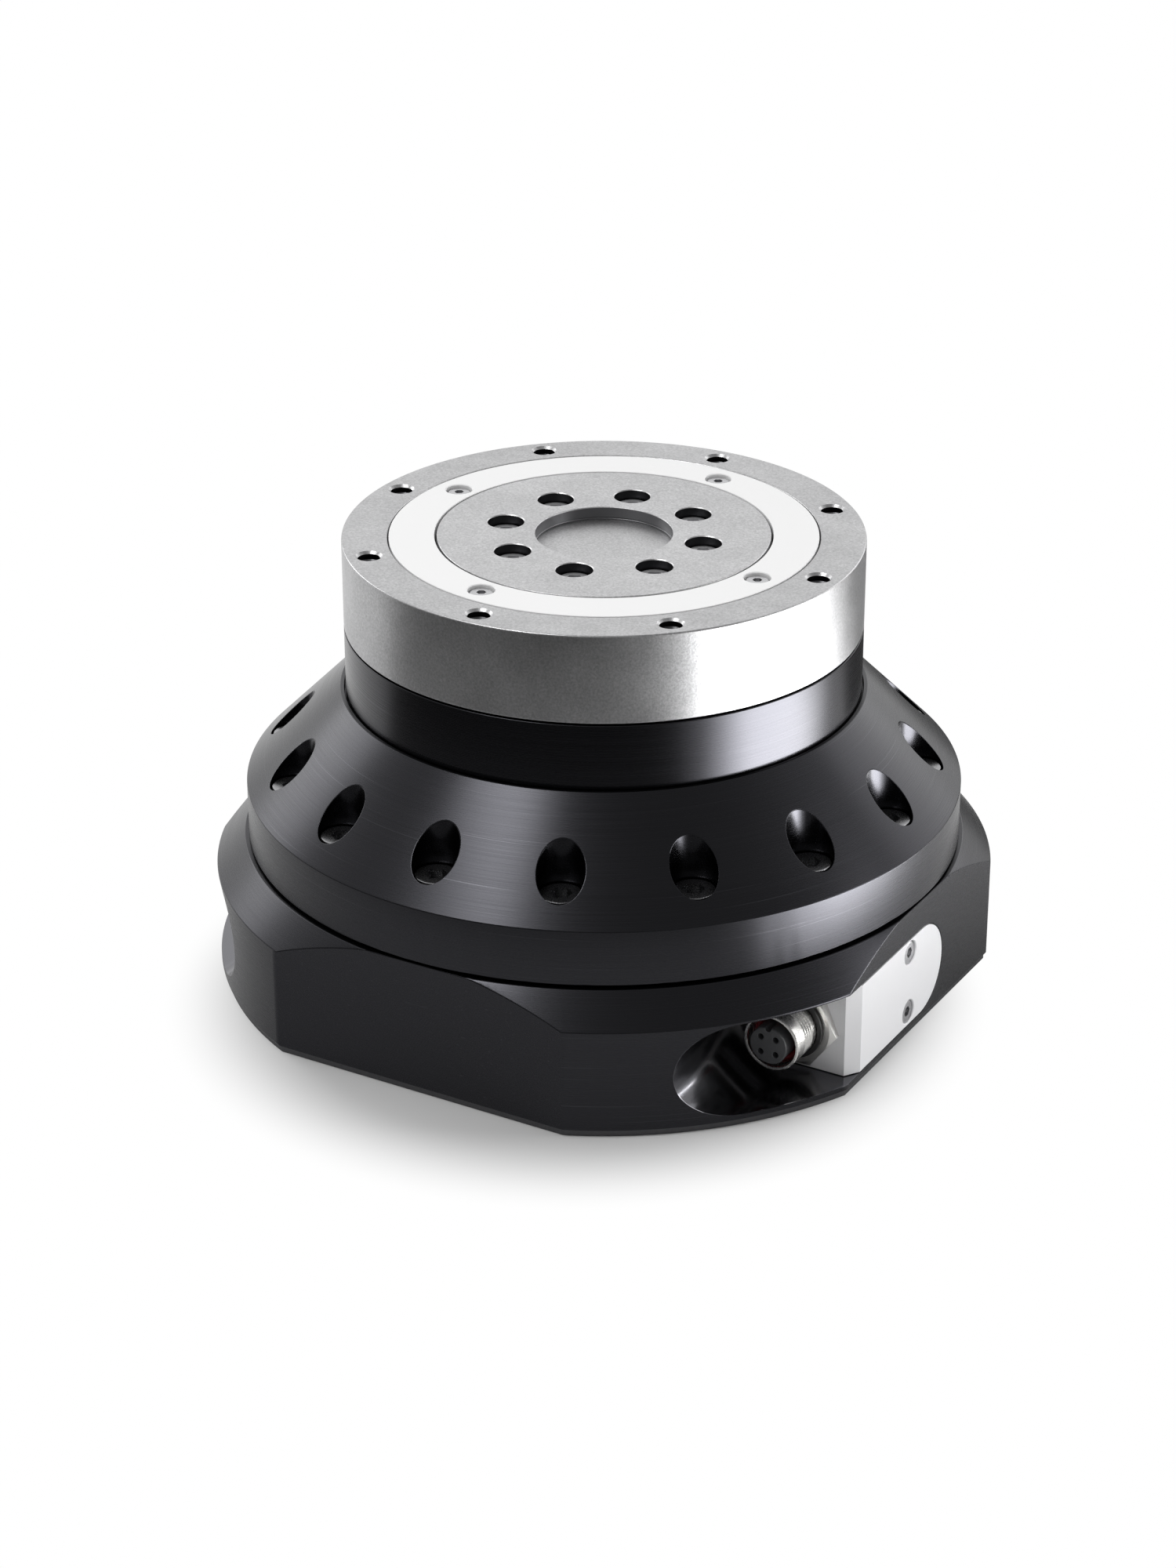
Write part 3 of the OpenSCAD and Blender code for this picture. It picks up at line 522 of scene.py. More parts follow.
def makePlatformRing(settings):
    top = ringHigh.z
    outer = ringHigh.x
    webBore = settings["webBore"]
    seam = neckHigh.z + settings["seam"]
    floor = top - settings["hubFloor"]
    piece = turned("platformRing", [
        (outer, seam), (outer, top), (settings["coverRecess"], top),
        (settings["coverRecess"], coverLow.z), (settings["hubRecess"], coverLow.z),
        (settings["hubRecess"], floor), (webBore, floor), (webBore, hubLow.z),
        (settings["skirtInner"], hubLow.z),
        (settings["skirtInner"], ringLow.z), (settings["skirtOuter"], ringLow.z),
        (settings["skirtOuter"], seam)])
    roundEdges(piece, settings["edge"], segments=3)
    places = around(settings["threadCount"], settings["threadCircle"], 0, top)
    carve(piece, repeated(threadedHole("threadCutter", settings), "threadCutters", places))
    smoothed(piece)
    finishPiece(piece, "platform_ring", "platform", silverPlatform)

    # painted shade: the thread deep in each tapped hole takes a dark colour
    def inThreadShade(spot, normal):
        inside = nearest(spot, places) < settings["threadRadius"] + settings["threadCrest"]
        return inside and spot.z < top - settings["threadStart"]
    paintFaces(piece, cutThread, inThreadShade)


makePlatformRing(platformSettings)
print("platform ring made")

coverSettings = {
    "inner": 51.7, "outer": 65.62, "edge": 0.25,
    "screwCircle": 58, "screwStart": 81.3, "screwCount": 4, "counterbore": 4.15, "screwHole": 2.3,
    "headDrop": 0.8, "headHeight": 2.8, "headRadius": 3.5, "socket": 2.6,
}
hubSettings = {
    "edge": 0.4, "groove": 0.35, "pilot": 21, "pilotDepth": 4, "spigot": 20.95,
    "screwCircle": 31.35, "screwStart": 13.4, "screwCount": 8, "counterbore": 5.65,
    "screwHole": 3.3, "headDrop": 2.8, "headHeight": 6, "headRadius": 5, "socket": 5,
    "paintedShadeFrom": 0.3,        # the counterbore walls are painted dark from this far down, as painted shade
}


def screwPlaces(settings, height=0):
    return around(settings["screwCount"], settings["screwCircle"], settings["screwStart"], height)


def seatUnder(settings, top):
    return top - settings["headDrop"] - settings["headHeight"]


def counterbored(name, settings, top, bottom):
    # the cutter of a ring of counterbored holes, each with its rim broken
    seat = seatUnder(settings, top)
    hole = settings["screwHole"]
    wide = settings["counterbore"]
    rim, above = 0.25, 0.1
    cutter = turned(name, [
        (0, bottom - 1), (hole, bottom - 1), (hole, seat), (wide, seat),
        (wide, top - rim), (wide + rim + above, top + above), (0, top + above)], steps=64)
    return repeated(cutter, name + "s", screwPlaces(settings))


def makeCoverRing(settings):
    inner = settings["inner"]
    outer = settings["outer"]
    piece = turned("coverRing", [
        (inner, coverLow.z), (outer, coverLow.z), (outer, coverHigh.z), (inner, coverHigh.z)])
    roundEdges(piece, settings["edge"], segments=3)
    carve(piece, counterbored("coverCutter", settings, coverHigh.z, coverLow.z))
    smoothed(piece)
    finishPiece(piece, "cover_ring", "platform", whiteCover)


def makeHubDisc(settings):
    top = hubHigh.z
    outer = hubHigh.x
    seat = ringHigh.z - platformSettings["hubFloor"]
    pilotFloor = top - settings["pilotDepth"]
    groove = settings["groove"]
    pilot = settings["pilot"]
    piece = turned("hubDisc", [
        (0, hubLow.z), (settings["spigot"], hubLow.z), (settings["spigot"], seat), (outer, seat),
        (outer, top), (pilot, top), (pilot, pilotFloor + 2 * groove),
        (pilot + groove, pilotFloor + groove), (pilot + groove, pilotFloor), (0, pilotFloor)])
    roundEdges(piece, settings["edge"], segments=3, angle=60)
    carve(piece, counterbored("hubCutter", settings, top, seat))
    smoothed(piece)
    finishPiece(piece, "hub_disc", "platform", greyDisc)
    places = screwPlaces(settings)
    shadeTop = top - settings["paintedShadeFrom"]

    # painted shade: the counterbore walls below the rim take a dark colour
    def inShadedCounterbore(spot, normal):
        return nearest(spot, places) < settings["counterbore"] + 0.02 and spot.z < shadeTop
    paintFaces(piece, counterboreShade, inShadedCounterbore)

    # painted shade: the wall of the pilot recess takes a darker colour
    def onPilotWall(spot, normal):
        onWall = pilot - 0.5 < spot.xy.length < pilot + groove + 0.1 and abs(normal.z) < 0.9
        return onWall and pilotFloor < spot.z < shadeTop
    paintFaces(piece, turnedWall, onPilotWall)


makeCoverRing(coverSettings)
makeHubDisc(hubSettings)
print("cover ring and centre disc made")


# screws

def capScrew(settings, length):
    # a head that stands on its seat at zero, with a rounded rim and a hexagon socket
    radius = settings["headRadius"]
    height = settings["headHeight"]
    socket = settings["socket"]
    shank = settings["screwHole"] - 0.35  # the clearance in its hole
    rim = min(0.5, height * 0.15)
    piece = turned("screw", [
        (0, -length), (shank, -length), (shank, 0), (radius, 0), (radius, height - rim),
        (radius - rim * 0.3, height - rim * 0.3), (radius - rim, height), (0, height)], steps=48)
    hexagon = cylinder(6, socket / 2 / math.cos(math.pi / 6), height, (0, 0, height))
    bpy.ops.object.mode_set(mode="EDIT")
    bpy.ops.mesh.select_all(action="DESELECT")
    leaveEditing()
    for face in hexagon.data.polygons:
        face.select = face.normal.z < -0.9
    bpy.ops.object.mode_set(mode="EDIT")
    bpy.ops.mesh.select_mode(type="FACE")
    # the shallow drill point under the socket
    bpy.ops.mesh.inset(thickness=socket * 0.4 * mm, depth=socket * 0.12 * mm)
    leaveEditing()
    carve(piece, hexagon)
    smoothed(piece, 28)
    return piece


def makeScrews(node, name, body, material, settings, seat):
    screw = capScrew(settings, seat - span(node)[0].z)
    screws = repeated(screw, name, screwPlaces(settings, seat))
    finishPiece(screws, node, body, material)


makeScrews("cover_ring_screws", "cover_ring_screwsGroup", "platform", brightScrew,
           coverSettings, seatUnder(coverSettings, coverHigh.z))
makeScrews("hub_disc_screws", "hub_disc_screwsGroup", "platform", headSteel,
           hubSettings, seatUnder(hubSettings, hubHigh.z))
print("platform screws made")


# cone housing and neck

coneLow, coneHigh = span("cone_housing")
baseLow, baseHigh = span("base_housing")

neckSettings = {
    "edge": 0.45, "relief": 1.3, "seatStep": 0.5, "bore": 66, "bearing": 70, "shoulder": 93.7,
    "recess": 77.5, "retainer": 3,
}
coneSettings = {
    "bandFoot": 44.8, "bandTop": 62.2, "neckGap": 0.45, "land": 1.15, "reliefDepth": 1.8,
    "neckSeat": 0.4, "spigot": 90, "bore": 86, "stepBore": 82, "step": 66,
    "ledgeFoot": 76, "ledgeTop": 84, "ledgeBore": 66, "edge": 0.22,
    "screwCircle": 98.9, "screwCount": 16, "screwStart": 0, "counterbore": 7.15, "screwHole": 4.3,
    "seat": 60, "headHeight": 8, "headRadius": 6.5, "socket": 6, "rim": 0.3,
}


def makeNeckRing(settings):
    outer = neckHigh.x
    seat = outer - settings["seatStep"]
    top = neckHigh.z
    foot = coneHigh.z - settings["relief"]
    retainerSeat = top - settings["retainer"]
    piece = turned("neckRing", [
        (settings["bore"], neckLow.z), (seat, neckLow.z), (seat, foot), (outer, foot), (outer, top),
        (settings["recess"], top), (settings["recess"], retainerSeat),
        (settings["bearing"], retainerSeat), (settings["bearing"], settings["shoulder"]),
        (settings["bore"], settings["shoulder"])])
    roundEdges(piece, settings["edge"], segments=3)
    smoothed(piece)
    finishPiece(piece, "neck_ring", "housing", blackHousing)


def selectRims(piece, places, radius, lowest):
    # selects the edges that run round the mouths of upright holes
    makeActive(piece)
    bpy.ops.object.mode_set(mode="EDIT")
    bpy.ops.mesh.select_mode(type="EDGE")
    bpy.ops.mesh.select_all(action="DESELECT")
    leaveEditing()
    vertices = piece.data.vertices
    onRim = []
    for vertex in vertices:
        spot = vertex.co / mm
        onRim.append(abs(nearest(spot, places) - radius) < 0.05 and spot.z > lowest)
    for edge in piece.data.edges:
        first, last = edge.vertices
        if onRim[first] and onRim[last]:
            along = vertices[first].co - vertices[last].co
            edge.select = along.xy.length > 0.1 * mm


def makeConeHousing(settings):
    outer = coneHigh.x
    top = coneHigh.z
    relief = neckHigh.x + settings["neckGap"]
    landEdge = relief + settings["land"]
    reliefFloor = top - settings["reliefDepth"]
    neckSeat = neckHigh.x - settings["neckSeat"]
    piece = turned("coneHousing", [
        (settings["spigot"], settings["bandFoot"]), (outer, settings["bandFoot"]),
        (outer, settings["bandTop"]), (landEdge, top), (relief, top), (relief, reliefFloor),
        (neckSeat, reliefFloor), (neckSeat, settings["ledgeTop"]),
        (settings["ledgeBore"], settings["ledgeTop"]),
        (settings["ledgeBore"], settings["ledgeFoot"]),
        (settings["stepBore"], settings["ledgeFoot"]), (settings["stepBore"], settings["step"]),
        (settings["bore"], settings["step"]), (settings["bore"], coneLow.z),
        (settings["spigot"], coneLow.z)], steps=240)  # so that no edge of the turning grazes a hole
    roundEdges(piece, settings["edge"], segments=3)
    clean = copied(piece, "coneUncut")
    smoothed(clean)
    hole = settings["screwHole"]
    wide = settings["counterbore"]
    cutter = turned("coneCutter", [
        (0, coneLow.z), (hole, coneLow.z), (hole, settings["seat"]), (wide, settings["seat"]),
        (wide, top + 5), (0, top + 5)], steps=72)
    places = screwPlaces(settings)
    carve(piece, repeated(cutter, "coneCutters", places))
    weld(piece, 0.12)
    cleaned(piece)
    selectRims(piece, places, wide, settings["seat"] + 1)
    bpy.ops.object.mode_set(mode="EDIT")
    bpy.ops.mesh.bevel(offset=settings["rim"] * mm, segments=2, affect="EDGES")
    leaveEditing()
    smoothed(piece)
    slope = (top - settings["bandTop"]) / (landEdge - outer)

    def onCone(spot):
        radius = spot.xy.length
        above = spot.z - settings["bandTop"] - slope * (radius - outer)
        return abs(above) < 0.02 and landEdge < radius < outer
    followShape(piece, clean, onCone)
    finishPiece(piece, "cone_housing", "housing", blackHousing)


makeNeckRing(neckSettings)
makeConeHousing(coneSettings)
makeScrews("cone_housing_screws", "coneScrews", "housing", darkScrew,
           coneSettings, coneSettings["seat"])
print("neck and cone housing made")


# base, with its connector pockets

baseSettings = {
    "outer": 122.1, "chamfer": 9.2, "land": 109, "top": 44, "recess": 90.05, "recessDepth": 4.8,
    "cavity": 72, "edge": 0.28,
    "pocketRadius": 15, "pocketX": 92.2, "pocketZ": 19,
    "threadCircle": 95, "threadRadius": 4.25, "threadDepth": 20,
}


def slotShape(name, settings, radius, length, outer):
    # a round-nosed milling path along -Y, whose inner side is round and whose outer side is open
    x = settings["pocketX"]
    z = settings["pocketZ"]
    steps = 48
    arc = []
    for step in range(steps + 1):
        angle = math.pi * step / steps
        arc.append((radius * math.sin(angle), radius * math.cos(angle)))
    inner = [(x - across, 0, z + up) for across, up in arc]
    piece = pushed(name, inner + [(outer, 0, z - radius), (outer, 0, z + radius)], (0, -length, 0))
    nose = pushed("nose", [(x, across, z + up) for across, up in arc], (outer - x, 0, 0))
    carve(piece, nose, "UNION")
    return piece


def makeBase(settings):
    outer = settings["outer"]
    foot = baseLow.z
    rim = baseHigh.z
    top = settings["top"]
    recessFloor = rim - settings["recessDepth"]
    piece = turned("baseHousing", [
        (settings["cavity"], foot), (outer, foot), (outer, top - settings["chamfer"]),
        (outer - settings["chamfer"], top), (settings["land"], top), (settings["land"], rim),
        (settings["recess"], rim), (settings["recess"], recessFloor),
        (settings["cavity"], recessFloor)], steps=288)
    carve(piece, squareCutter(2 * baseHigh.x, (foot + rim) / 2, rim - foot + 10), "INTERSECT")
    slotRight = slotShape("slotCutter", settings, settings["pocketRadius"], outer + 10, outer + 2)
    slotLeft = mirroredCopy(slotRight, "slotCutterLeft")
    carve(piece, slotRight)
    carve(piece, slotLeft)
    weld(piece, 0.06)
    roundEdges(piece, settings["edge"], segments=2, angle=25)
    radius = settings["threadRadius"]
    depth = foot + settings["threadDepth"]
    hole = turned("mountCutter", [
        (0, foot - 1), (radius, foot - 1), (radius, depth), (0, depth + 2)], steps=48)
    carve(piece, repeated(hole, "mountCutters", around(4, settings["threadCircle"], 45, 0)))
    smoothed(piece, 24)
    finishPiece(piece, "base_housing", "housing", blackHousing)

    def inPocketSheen(spot, normal):
        # the milled pockets are smoother under the black, so they take a glossier finish, and a
        # lighter colour that is a painted reflection
        side = abs(spot.x) - settings["pocketX"]
        reach = math.hypot(min(side, 0), spot.z - settings["pocketZ"])
        outside = spot.y < 0.1 and spot.xy.length > settings["cavity"] + 2
        return outside and abs(reach - settings["pocketRadius"]) < 0.12
    paintFaces(piece, pocketGlossAndPaintedSheen, inPocketSheen)


makeBase(baseSettings)
print("base made")

plateSettings = {
    "round": 121.3, "opening": 24, "edge": 0.3, "boltHole": 5.5, "boltCircle": 95,
    "screwCircle": 80, "screwCount": 6, "screwStart": 30, "screwHead": 3.8, "screwHole": 2.3,
    "headLip": 0.3, "headDepth": 1.9,
}


def makeBottomPlate(settings):
    high = span("bottom_plate")[1]
    top = high.z
    piece = turned("bottomPlate", [
        (settings["opening"], 0), (settings["round"], 0), (settings["round"], top),
        (settings["opening"], top)], steps=288)
    carve(piece, squareCutter(2 * high.x, top / 2, 4 * top), "INTERSECT")
    roundEdges(piece, settings["edge"], segments=2)
    bolt = settings["boltHole"]
    boltHole = turned("boltCutter", [(0, -1), (bolt, -1), (bolt, top + 1), (0, top + 1)], steps=48)
    carve(piece, repeated(boltHole, "boltCutters", around(4, settings["boltCircle"], 45, 0)))
    head = settings["screwHead"]
    hole = settings["screwHole"]
    screwHole = turned("screwCutter", [
        (0, -0.1), (head + 0.2, -0.1), (head + 0.1, settings["headLip"]),
        (hole, settings["headDepth"]), (hole, top + 1), (0, top + 1)], steps=48)
    carve(piece, repeated(screwHole, "screwCutters", screwPlaces(settings)))
    smoothed(piece)
    finishPiece(piece, "bottom_plate", "housing", blackPlate)


makeBottomPlate(plateSettings)
print("closing plate made")


# brackets and connectors: made for the right side, then mirrored

bracketHigh = span("bracket_right")[1]
shellLow, shellHigh = span("connector_shell_right")

bracketSettings = {
    "radius": 14.7, "length": 46, "bevelX": 3.1, "bevelY": 4.7, "edge": 0.35,
    "bore": 9.05, "boreDepth": 22, "screwY": -8.3, "screwZ": 10.2, "screwHole": 2.3,
    "counterbore": 3.85, "headDrop": 0.4, "headHeight": 4, "headRadius": 3.5, "socket": 3,
}
frontEnd = -shellLow.y - bracketSettings["length"]   # from the bracket's face to the shell's mouth
backEnd = bracketSettings["length"] + shellHigh.y    # and to the shell's rear end


def onBothScrews(piece, name, settings, x):
    # copies of an upright piece, laid along +X at the bracket's two screws
    spots = [(x, settings["screwY"], baseSettings["pocketZ"] + side * settings["screwZ"])
             for side in (-1, 1)]
    return [copied(piece, name, spot, (0, 90, 0)) for spot in spots]


def makeBracket(settings):
    x = baseSettings["pocketX"]
    z = baseSettings["pocketZ"]
    face = bracketHigh.x
    front = -settings["length"]
    inner = face - settings["bevelX"]
    rear = front + settings["bevelY"]
    piece = slotShape("bracketRight", baseSettings, settings["radius"], settings["length"], face)
    half = 20
    foot = z - half
    corner = [(inner, front, foot), (inner, front - 1, foot), (face + 1, front - 1, foot),
              (face + 1, rear, foot), (face, rear, foot)]
    carve(piece, pushed("cornerCutter", corner, (0, 0, 2 * half)))
    roundEdges(piece, settings["edge"], segments=3, angle=30)
    radius = settings["bore"]
    floor = -settings["boreDepth"]
    bore = turned("boreCutter", [(0, floor), (radius, floor), (radius, 1), (0, 1)], steps=64)
    carve(piece, copied(bore, "boreCutterPlaced", (x, front, z), (90, 0, 0)))
    bpy.data.objects.remove(bore)
    wide = settings["counterbore"]
    seat = seatUnder(settings, 0)
    head = turned("headCutter", [
        (0, seat), (wide, seat), (wide, -0.25), (wide + 0.3, 0.05), (0, 0.05)], steps=64)
    for cutter in onBothScrews(head, "headCutterPlaced", settings, face):
        carve(piece, cutter)
    bpy.data.objects.remove(head)
    smoothed(piece, 30)
    return piece


def makeBracketScrews(settings):
    seat = seatUnder(settings, bracketHigh.x)
    screw = capScrew(settings, seat - span("bracket_screws_right")[0].x)
    screws = onBothScrews(screw, "bracketScrew", settings, seat)
    bpy.data.objects.remove(screw)
    return joined(screws, "bracketScrewsRight")


connectorSettings = {
    "shell": 9, "bore": 8, "mouth": 10.5, "insert": 6, "insertOut": 1.9, "insertEdge": 0.35,
    "contactCircle": 3.5, "contact": 0.95, "contactDepth": 8, "keyway": 1.0, "keyDepth": 7.5,
    "nutFlats": 25, "nutHeight": 2.8, "nutTurn": 23.5, "nutEdge": 0.15,
    "crownSlope": 0.577,    # a nut's corners are turned off at 30 degrees
    "sealHeight": 1.5, "sealRadius": 10.6, "sealEdge": 0.4, "cord": 0.95, "cordDepth": 5.4,
    "threadStart": 6.9, "threadPitch": 1.2, "threadTurns": 4, "threadDepth": 0.45,
    "innerStart": 1, "innerPitch": 0.75, "innerDepth": 0.22, "innerTurns": 8,
}


def onConnectorAxis(piece, name):
    # connector pieces are modelled upright, then laid along -Y from the bracket's face
    spot = (baseSettings["pocketX"], -bracketSettings["length"], baseSettings["pocketZ"])
    placed = copied(piece, name, spot, (90, 0, 0))
    bpy.data.objects.remove(piece)
    return placed


def makeShell(settings):
    outer = settings["shell"]
    bore = settings["bore"]
    insert = settings["insert"] + 0.05
    valley = outer - settings["threadDepth"]
    pitch = settings["threadPitch"]
    floor = frontEnd - settings["mouth"]
    outline = [(insert, -backEnd), (outer, -backEnd)]
    for turn in range(settings["threadTurns"]):
        foot = settings["threadStart"] + turn * pitch
        outline += [(outer, foot), (valley, foot + pitch * 0.3), (valley, foot + pitch * 0.5),
                    (outer, foot + pitch * 0.8)]
    outline += [(outer, frontEnd - 0.25), (outer - 0.25, frontEnd), (bore + 0.2, frontEnd),
                (bore, frontEnd - 0.2)]
    pitch = settings["innerPitch"]
    foot = frontEnd - settings["innerStart"]
    for turn in range(settings["innerTurns"]):
        crest = foot - turn * pitch
        outline += [(bore, crest), (bore + settings["innerDepth"], crest - pitch * 0.5)]
    outline += [(bore, foot - settings["innerTurns"] * pitch), (bore, floor), (insert, floor)]
    piece = turned("shell", outline, steps=96)
    smoothed(piece, 25)
    return onConnectorAxis(piece, "connectorShellRight")


def makeInsert(settings):
    top = frontEnd + settings["insertOut"]
    radius = settings["insert"]
    piece = turned("insert", [(0, -backEnd), (radius, -backEnd), (radius, top), (0, top)], steps=64)
    roundEdges(piece, settings["insertEdge"], segments=3)
    contact = settings["contact"]
    floor = top - settings["contactDepth"]
    cutter = turned("contactCutter", [
        (0, floor), (contact, floor), (contact, top - 0.15), (contact + 0.2, top + 0.05),
        (0, top + 0.05)], steps=24)
    carve(piece, repeated(cutter, "contactCutters", around(4, settings["contactCircle"], 45, 0)))
    keyDepth = settings["keyDepth"]
    carve(piece, cylinder(24, settings["keyway"], keyDepth + 1.5,
                          (0, radius - 0.35, top + (1.5 - keyDepth) / 2)))
    smoothed(piece, 30)
    return onConnectorAxis(piece, "connectorInsertRight")


def makeNut(settings):
    flat = settings["nutFlats"] / 2
    corner = flat / math.cos(math.pi / 6)
    height = settings["nutHeight"]
    piece = cylinder(6, corner, height, (0, 0, height / 2), settings["nutTurn"])
    piece.name = "nut"
    wide = corner + 0.5
    crown = turned("crown", [
        (0, -0.01), (wide, -0.01), (wide, height - (wide - flat) * settings["crownSlope"]),
        (flat, height), (0, height)], steps=96)
    carve(piece, crown, "INTERSECT")
    roundEdges(piece, settings["nutEdge"], segments=2, angle=35)
    inside = settings["shell"] + 0.04
    carve(piece, turned("nutBore", [
        (0, -1), (inside, -1), (inside, height + 1), (0, height + 1)], steps=96))
    smoothed(piece, 20)
    return onConnectorAxis(piece, "connectorNutRight")


def makeSeals(settings):
    middle = (settings["bore"] + settings["insert"]) / 2
    bpy.ops.mesh.primitive_torus_add(
        major_radius=middle * mm, minor_radius=settings["cord"] * mm, major_segments=96,
        minor_segments=20, location=(0, 0, (frontEnd - settings["cordDepth"]) * mm))
    cord = bpy.context.active_object
    applyTransforms(cord)
    inner = settings["shell"] + 0.05
    outer = settings["sealRadius"]
    foot = settings["nutHeight"]
    top = foot + settings["sealHeight"]
    washer = turned("washer", [(inner, foot), (outer, foot), (outer, top), (inner, top)], steps=96)
    roundEdges(washer, settings["sealEdge"], segments=3)
    piece = joined([cord, washer], "seals")
    smoothed(piece, 30)
    return onConnectorAxis(piece, "connectorSealsRight")


def finishBothSides(piece, node, material):
    twin = mirroredCopy(piece, piece.name.replace("Right", "Left"))
    finishPiece(piece, node + "_right", "housing", material)
    finishPiece(twin, node + "_left", "housing", material)


finishBothSides(makeBracket(bracketSettings), "bracket", whiteBracket)
finishBothSides(makeBracketScrews(bracketSettings), "bracket_screws", brightScrew)
finishBothSides(makeShell(connectorSettings), "connector_shell", nickelPlate)
finishBothSides(makeInsert(connectorSettings), "connector_insert", greyInsert)
finishBothSides(makeNut(connectorSettings), "connector_nut", nickelNut)
finishBothSides(makeSeals(connectorSettings), "connector_seals", redRubber)
# the washer on the nut is black, and the cord in the mouth is red
washerEnd = connectorSettings["nutHeight"] + connectorSettings["sealHeight"] + 0.05
for side in ("Right", "Left"):
    paintFaces(bpy.data.objects["connectorSeals" + side], blackRubber,
               lambda spot, normal: spot.y > -bracketSettings["length"] - washerEnd)
print("brackets and connectors made")


# inner pieces keep their CAD form and take a finish

innerFinish = {
    "rotor_shaft": turnedSteel, "rotor_magnets": magnetNickel, "bearing_spacers": paleSpacer,
    "bearing_inner_ring": groundSteel, "bearing_outer_ring": groundSteel,
    "bearing_rollers": groundSteel,
    "encoder_disc": etchedScale, "bottom_plate_screws": darkScrew, "neck_ring_screws": darkScrew,
    "bearing_retainer": turnedSteel, "retainer_screws": darkScrew, "platform_seal": blackRubber,
    "stator_core": stackedSteel, "stator_windings": copperWire, "shaft_seal": blackRubber,
    "encoder_read_head": darkMoulding, "drive_board": greenBoard, "board_components": darkMoulding,
    "board_standoffs": brassPost,
}
for node, material in innerFinish.items():
    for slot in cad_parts[node].material_slots:
        slot.material = material
print("inner pieces finished")


# floor, backdrop and lamps

stageSettings = {
    "floorSize": 8000,
    "floorColour": "#d8d8d8",
    "shadowReach": (90, 130),   # from here to there the floor fades to a plain white backdrop
    "shadowShift": (34, 15),    # that fade lies this far (mm) off the axis, towards this azimuth
    "glossReach": (160, 260),   # the same fade round the axis, for gloss and clear material
    "frontLight": 0.25,         # the studio is dim on the camera's side and brighter behind
    "backLight": 0.95,
    "backAzimuth": 209.7,
    # dark cards over the floor, seen only in reflections, where they paint the floor's shade:
    # colour, near and far edge in mm, first and last azimuth
    "frontShadeCard": ("#333333", 225, 1500, -66, 60),
    "backShadeCard": ("#303030", 200, 700, 146, 204),
    "cardHeight": 2,
}


def towards(azimuth):
    # level direction, in degrees round from the front flat
    angle = math.radians(azimuth)
    return Vector((math.sin(angle), -math.cos(angle), 0))


def makeStage(settings):
    deselectAll()
    bpy.ops.mesh.primitive_plane_add(size=settings["floorSize"] * mm)
    floor = bpy.context.active_object
    floor.name = "floor"
    material, tree, shader = newMaterial("paperFloor", settings["floorColour"], 0.0, 0.9)
    place = addNode(tree, "ShaderNodeTexCoord").outputs["Object"]
    shift, shiftAzimuth = settings["shadowShift"]
    leaning = addNode(tree, "ShaderNodeVectorMath", {
        "operation": "SUBTRACT", 1: towards(shiftAzimuth) * shift * mm}, {0: place})
    rays = addNode(tree, "ShaderNodeLightPath")
    throughGloss = addNode(tree, "ShaderNodeMath", {"operation": "MAXIMUM"}, {
        0: rays.outputs["Is Glossy Ray"], 1: rays.outputs["Is Transmission Ray"]})
    shares = []
    for centre, reach, ray in ((leaning.outputs[0], "shadowReach", rays.outputs["Is Camera Ray"]),
                               (place, "glossReach", throughGloss.outputs[0])):
        near, far = settings[reach]
        away = addNode(tree, "ShaderNodeVectorMath", {"operation": "LENGTH"}, {0: centre})
        fade = addNode(tree, "ShaderNodeMapRange", {
            "interpolation_type": "SMOOTHSTEP", "From Min": near * mm, "From Max": far * mm},
            {"Value": away.outputs["Value"]})
        shares.append(addNode(tree, "ShaderNodeMath", {"operation": "MULTIPLY"},
                              {0: fade.outputs[0], 1: ray}))
    share = addNode(tree, "ShaderNodeMath", {"operation": "MAXIMUM"},
                    {0: shares[0].outputs[0], 1: shares[1].outputs[0]})
    glow = addNode(tree, "ShaderNodeEmission", {"Color": (1, 1, 1, 1), "Strength": 1.0})
    mixed = addNode(tree, "ShaderNodeMixShader", None,
                    {0: share.outputs[0], 1: shader.outputs[0], 2: glow.outputs[0]})
    link(tree, tree.nodes["Material Output"], {"Surface": mixed.outputs[0]})
    floor.data.materials.append(material)


def makeCard(name, settings):
    # dark sheets just over the floor, seen only in the object's gloss: a painted shade of the floor
    # in its reflections
    colour, near, far, first, last = settings[name]
    steps = 24
    corners = []
    for reach, order in ((near, range(steps + 1)), (far, range(steps, -1, -1))):
        for step in order:
            spot = towards(first + (last - first) * step / steps) * reach
            corners.append((spot.x, spot.y, settings["cardHeight"]))
    card = pushed(name, corners, (0, 0, 0.5))
    card.data.materials.append(newMaterial(name + "Paper", colour, 0.0, 0.9)[0])
    card.visible_camera = False
    card.visible_shadow = False
    card.visible_diffuse = False


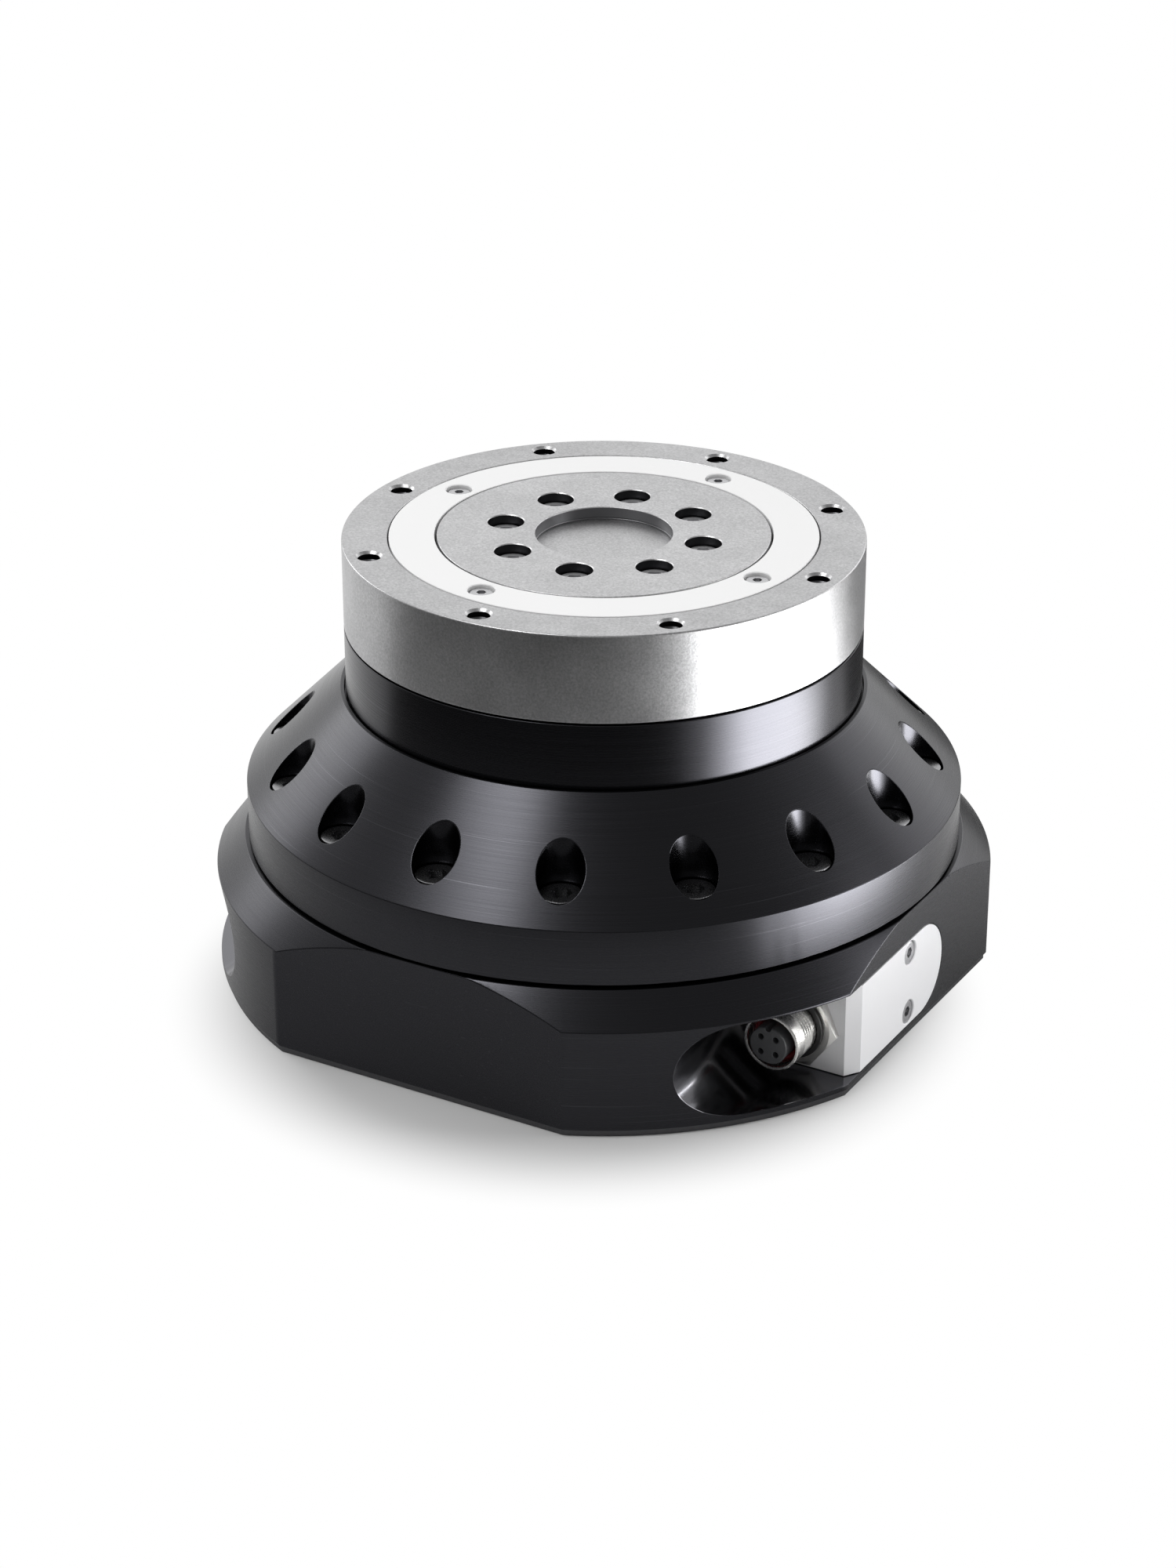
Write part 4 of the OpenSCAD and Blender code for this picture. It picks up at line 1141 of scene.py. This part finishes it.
def makeWorld(settings):
    world = bpy.data.worlds.new("studio")
    bpy.context.scene.world = world
    world.use_nodes = True
    tree = world.node_tree
    direction = addNode(tree, "ShaderNodeTexCoord").outputs["Generated"]
    facing = addNode(tree, "ShaderNodeVectorMath", {
        "operation": "DOT_PRODUCT", 1: towards(settings["backAzimuth"])}, {0: direction})
    level = addNode(tree, "ShaderNodeMapRange", {
        "interpolation_type": "SMOOTHSTEP", "From Min": -0.4, "From Max": 0.75,
        "To Min": settings["frontLight"], "To Max": settings["backLight"]},
        {"Value": facing.outputs["Value"]})
    background = tree.nodes["Background"]
    background.inputs["Color"].default_value = (1, 1, 1, 1)
    link(tree, background, {"Strength": level.outputs[0]})


# azimuth: degrees round from the front flat; height, distance and size in mm; power in watts;
# a flat lamp is a light table, which lies on the floor and faces up
lamps = {
    "keySoftbox": {"azimuth": 158, "height": 500, "distance": 1250, "size": (900, 600),
                   "power": 2.4},
    "rightSoftbox": {"azimuth": 108, "height": 175, "distance": 520, "size": (190, 340),
                     "power": 1.0},
    "smallTable": {"azimuth": 97, "height": 5, "distance": 325, "size": (150, 220),
                   "power": 0.85, "flat": True},
    "lightTable": {"azimuth": 97, "height": 4, "distance": 325, "size": (210, 240),
                   "power": 1.35, "flat": True},
    "wideTable": {"azimuth": 97, "height": 3, "distance": 330, "size": (280, 265),
                  "power": 1.35, "flat": True},
    "leftSoftbox": {"azimuth": -97, "height": 470, "distance": 1000, "size": (480, 440),
                    "power": 2.1},
    "topSoftbox": {"azimuth": -29, "height": 1200, "distance": 690, "size": (560, 380),
                   "power": 6.4},
    "backSoftbox": {"azimuth": 210, "height": 900, "distance": 1400, "size": (1500, 800),
                    "power": 1.0},
}


def makeLamp(name, settings):
    out = towards(settings["azimuth"]) * settings["distance"]
    place = (out + Vector((0, 0, settings["height"]))) * mm
    aim = Vector((0, 0, 70 * mm))
    flat = settings.get("flat")
    bpy.ops.object.light_add(type="AREA", location=place)
    lamp = bpy.context.active_object
    lamp.name = name
    lamp.data.shape = "RECTANGLE"
    lamp.data.size, lamp.data.size_y = [side * mm for side in settings["size"]]
    lamp.data.energy = settings["power"]
    lamp.visible_camera = False
    lamp.visible_diffuse = not flat   # the tables are there for the gloss alone
    facing = Vector((0, 0, 1)) if flat else aim - place
    lamp.rotation_euler = facing.to_track_quat("-Z", "Y").to_euler()
    if flat:
        lamp.rotation_euler.rotate_axis("Z", math.radians(settings["azimuth"]))


makeStage(stageSettings)
# the dark cards paint shade into the floor's reflections
for name in ("frontShadeCard", "backShadeCard"):
    makeCard(name, stageSettings)
makeWorld(stageSettings)
for name, settings in lamps.items():
    makeLamp(name, settings)
print("stage and lamps made")

bpy.context.scene.view_settings.view_transform = "Standard"
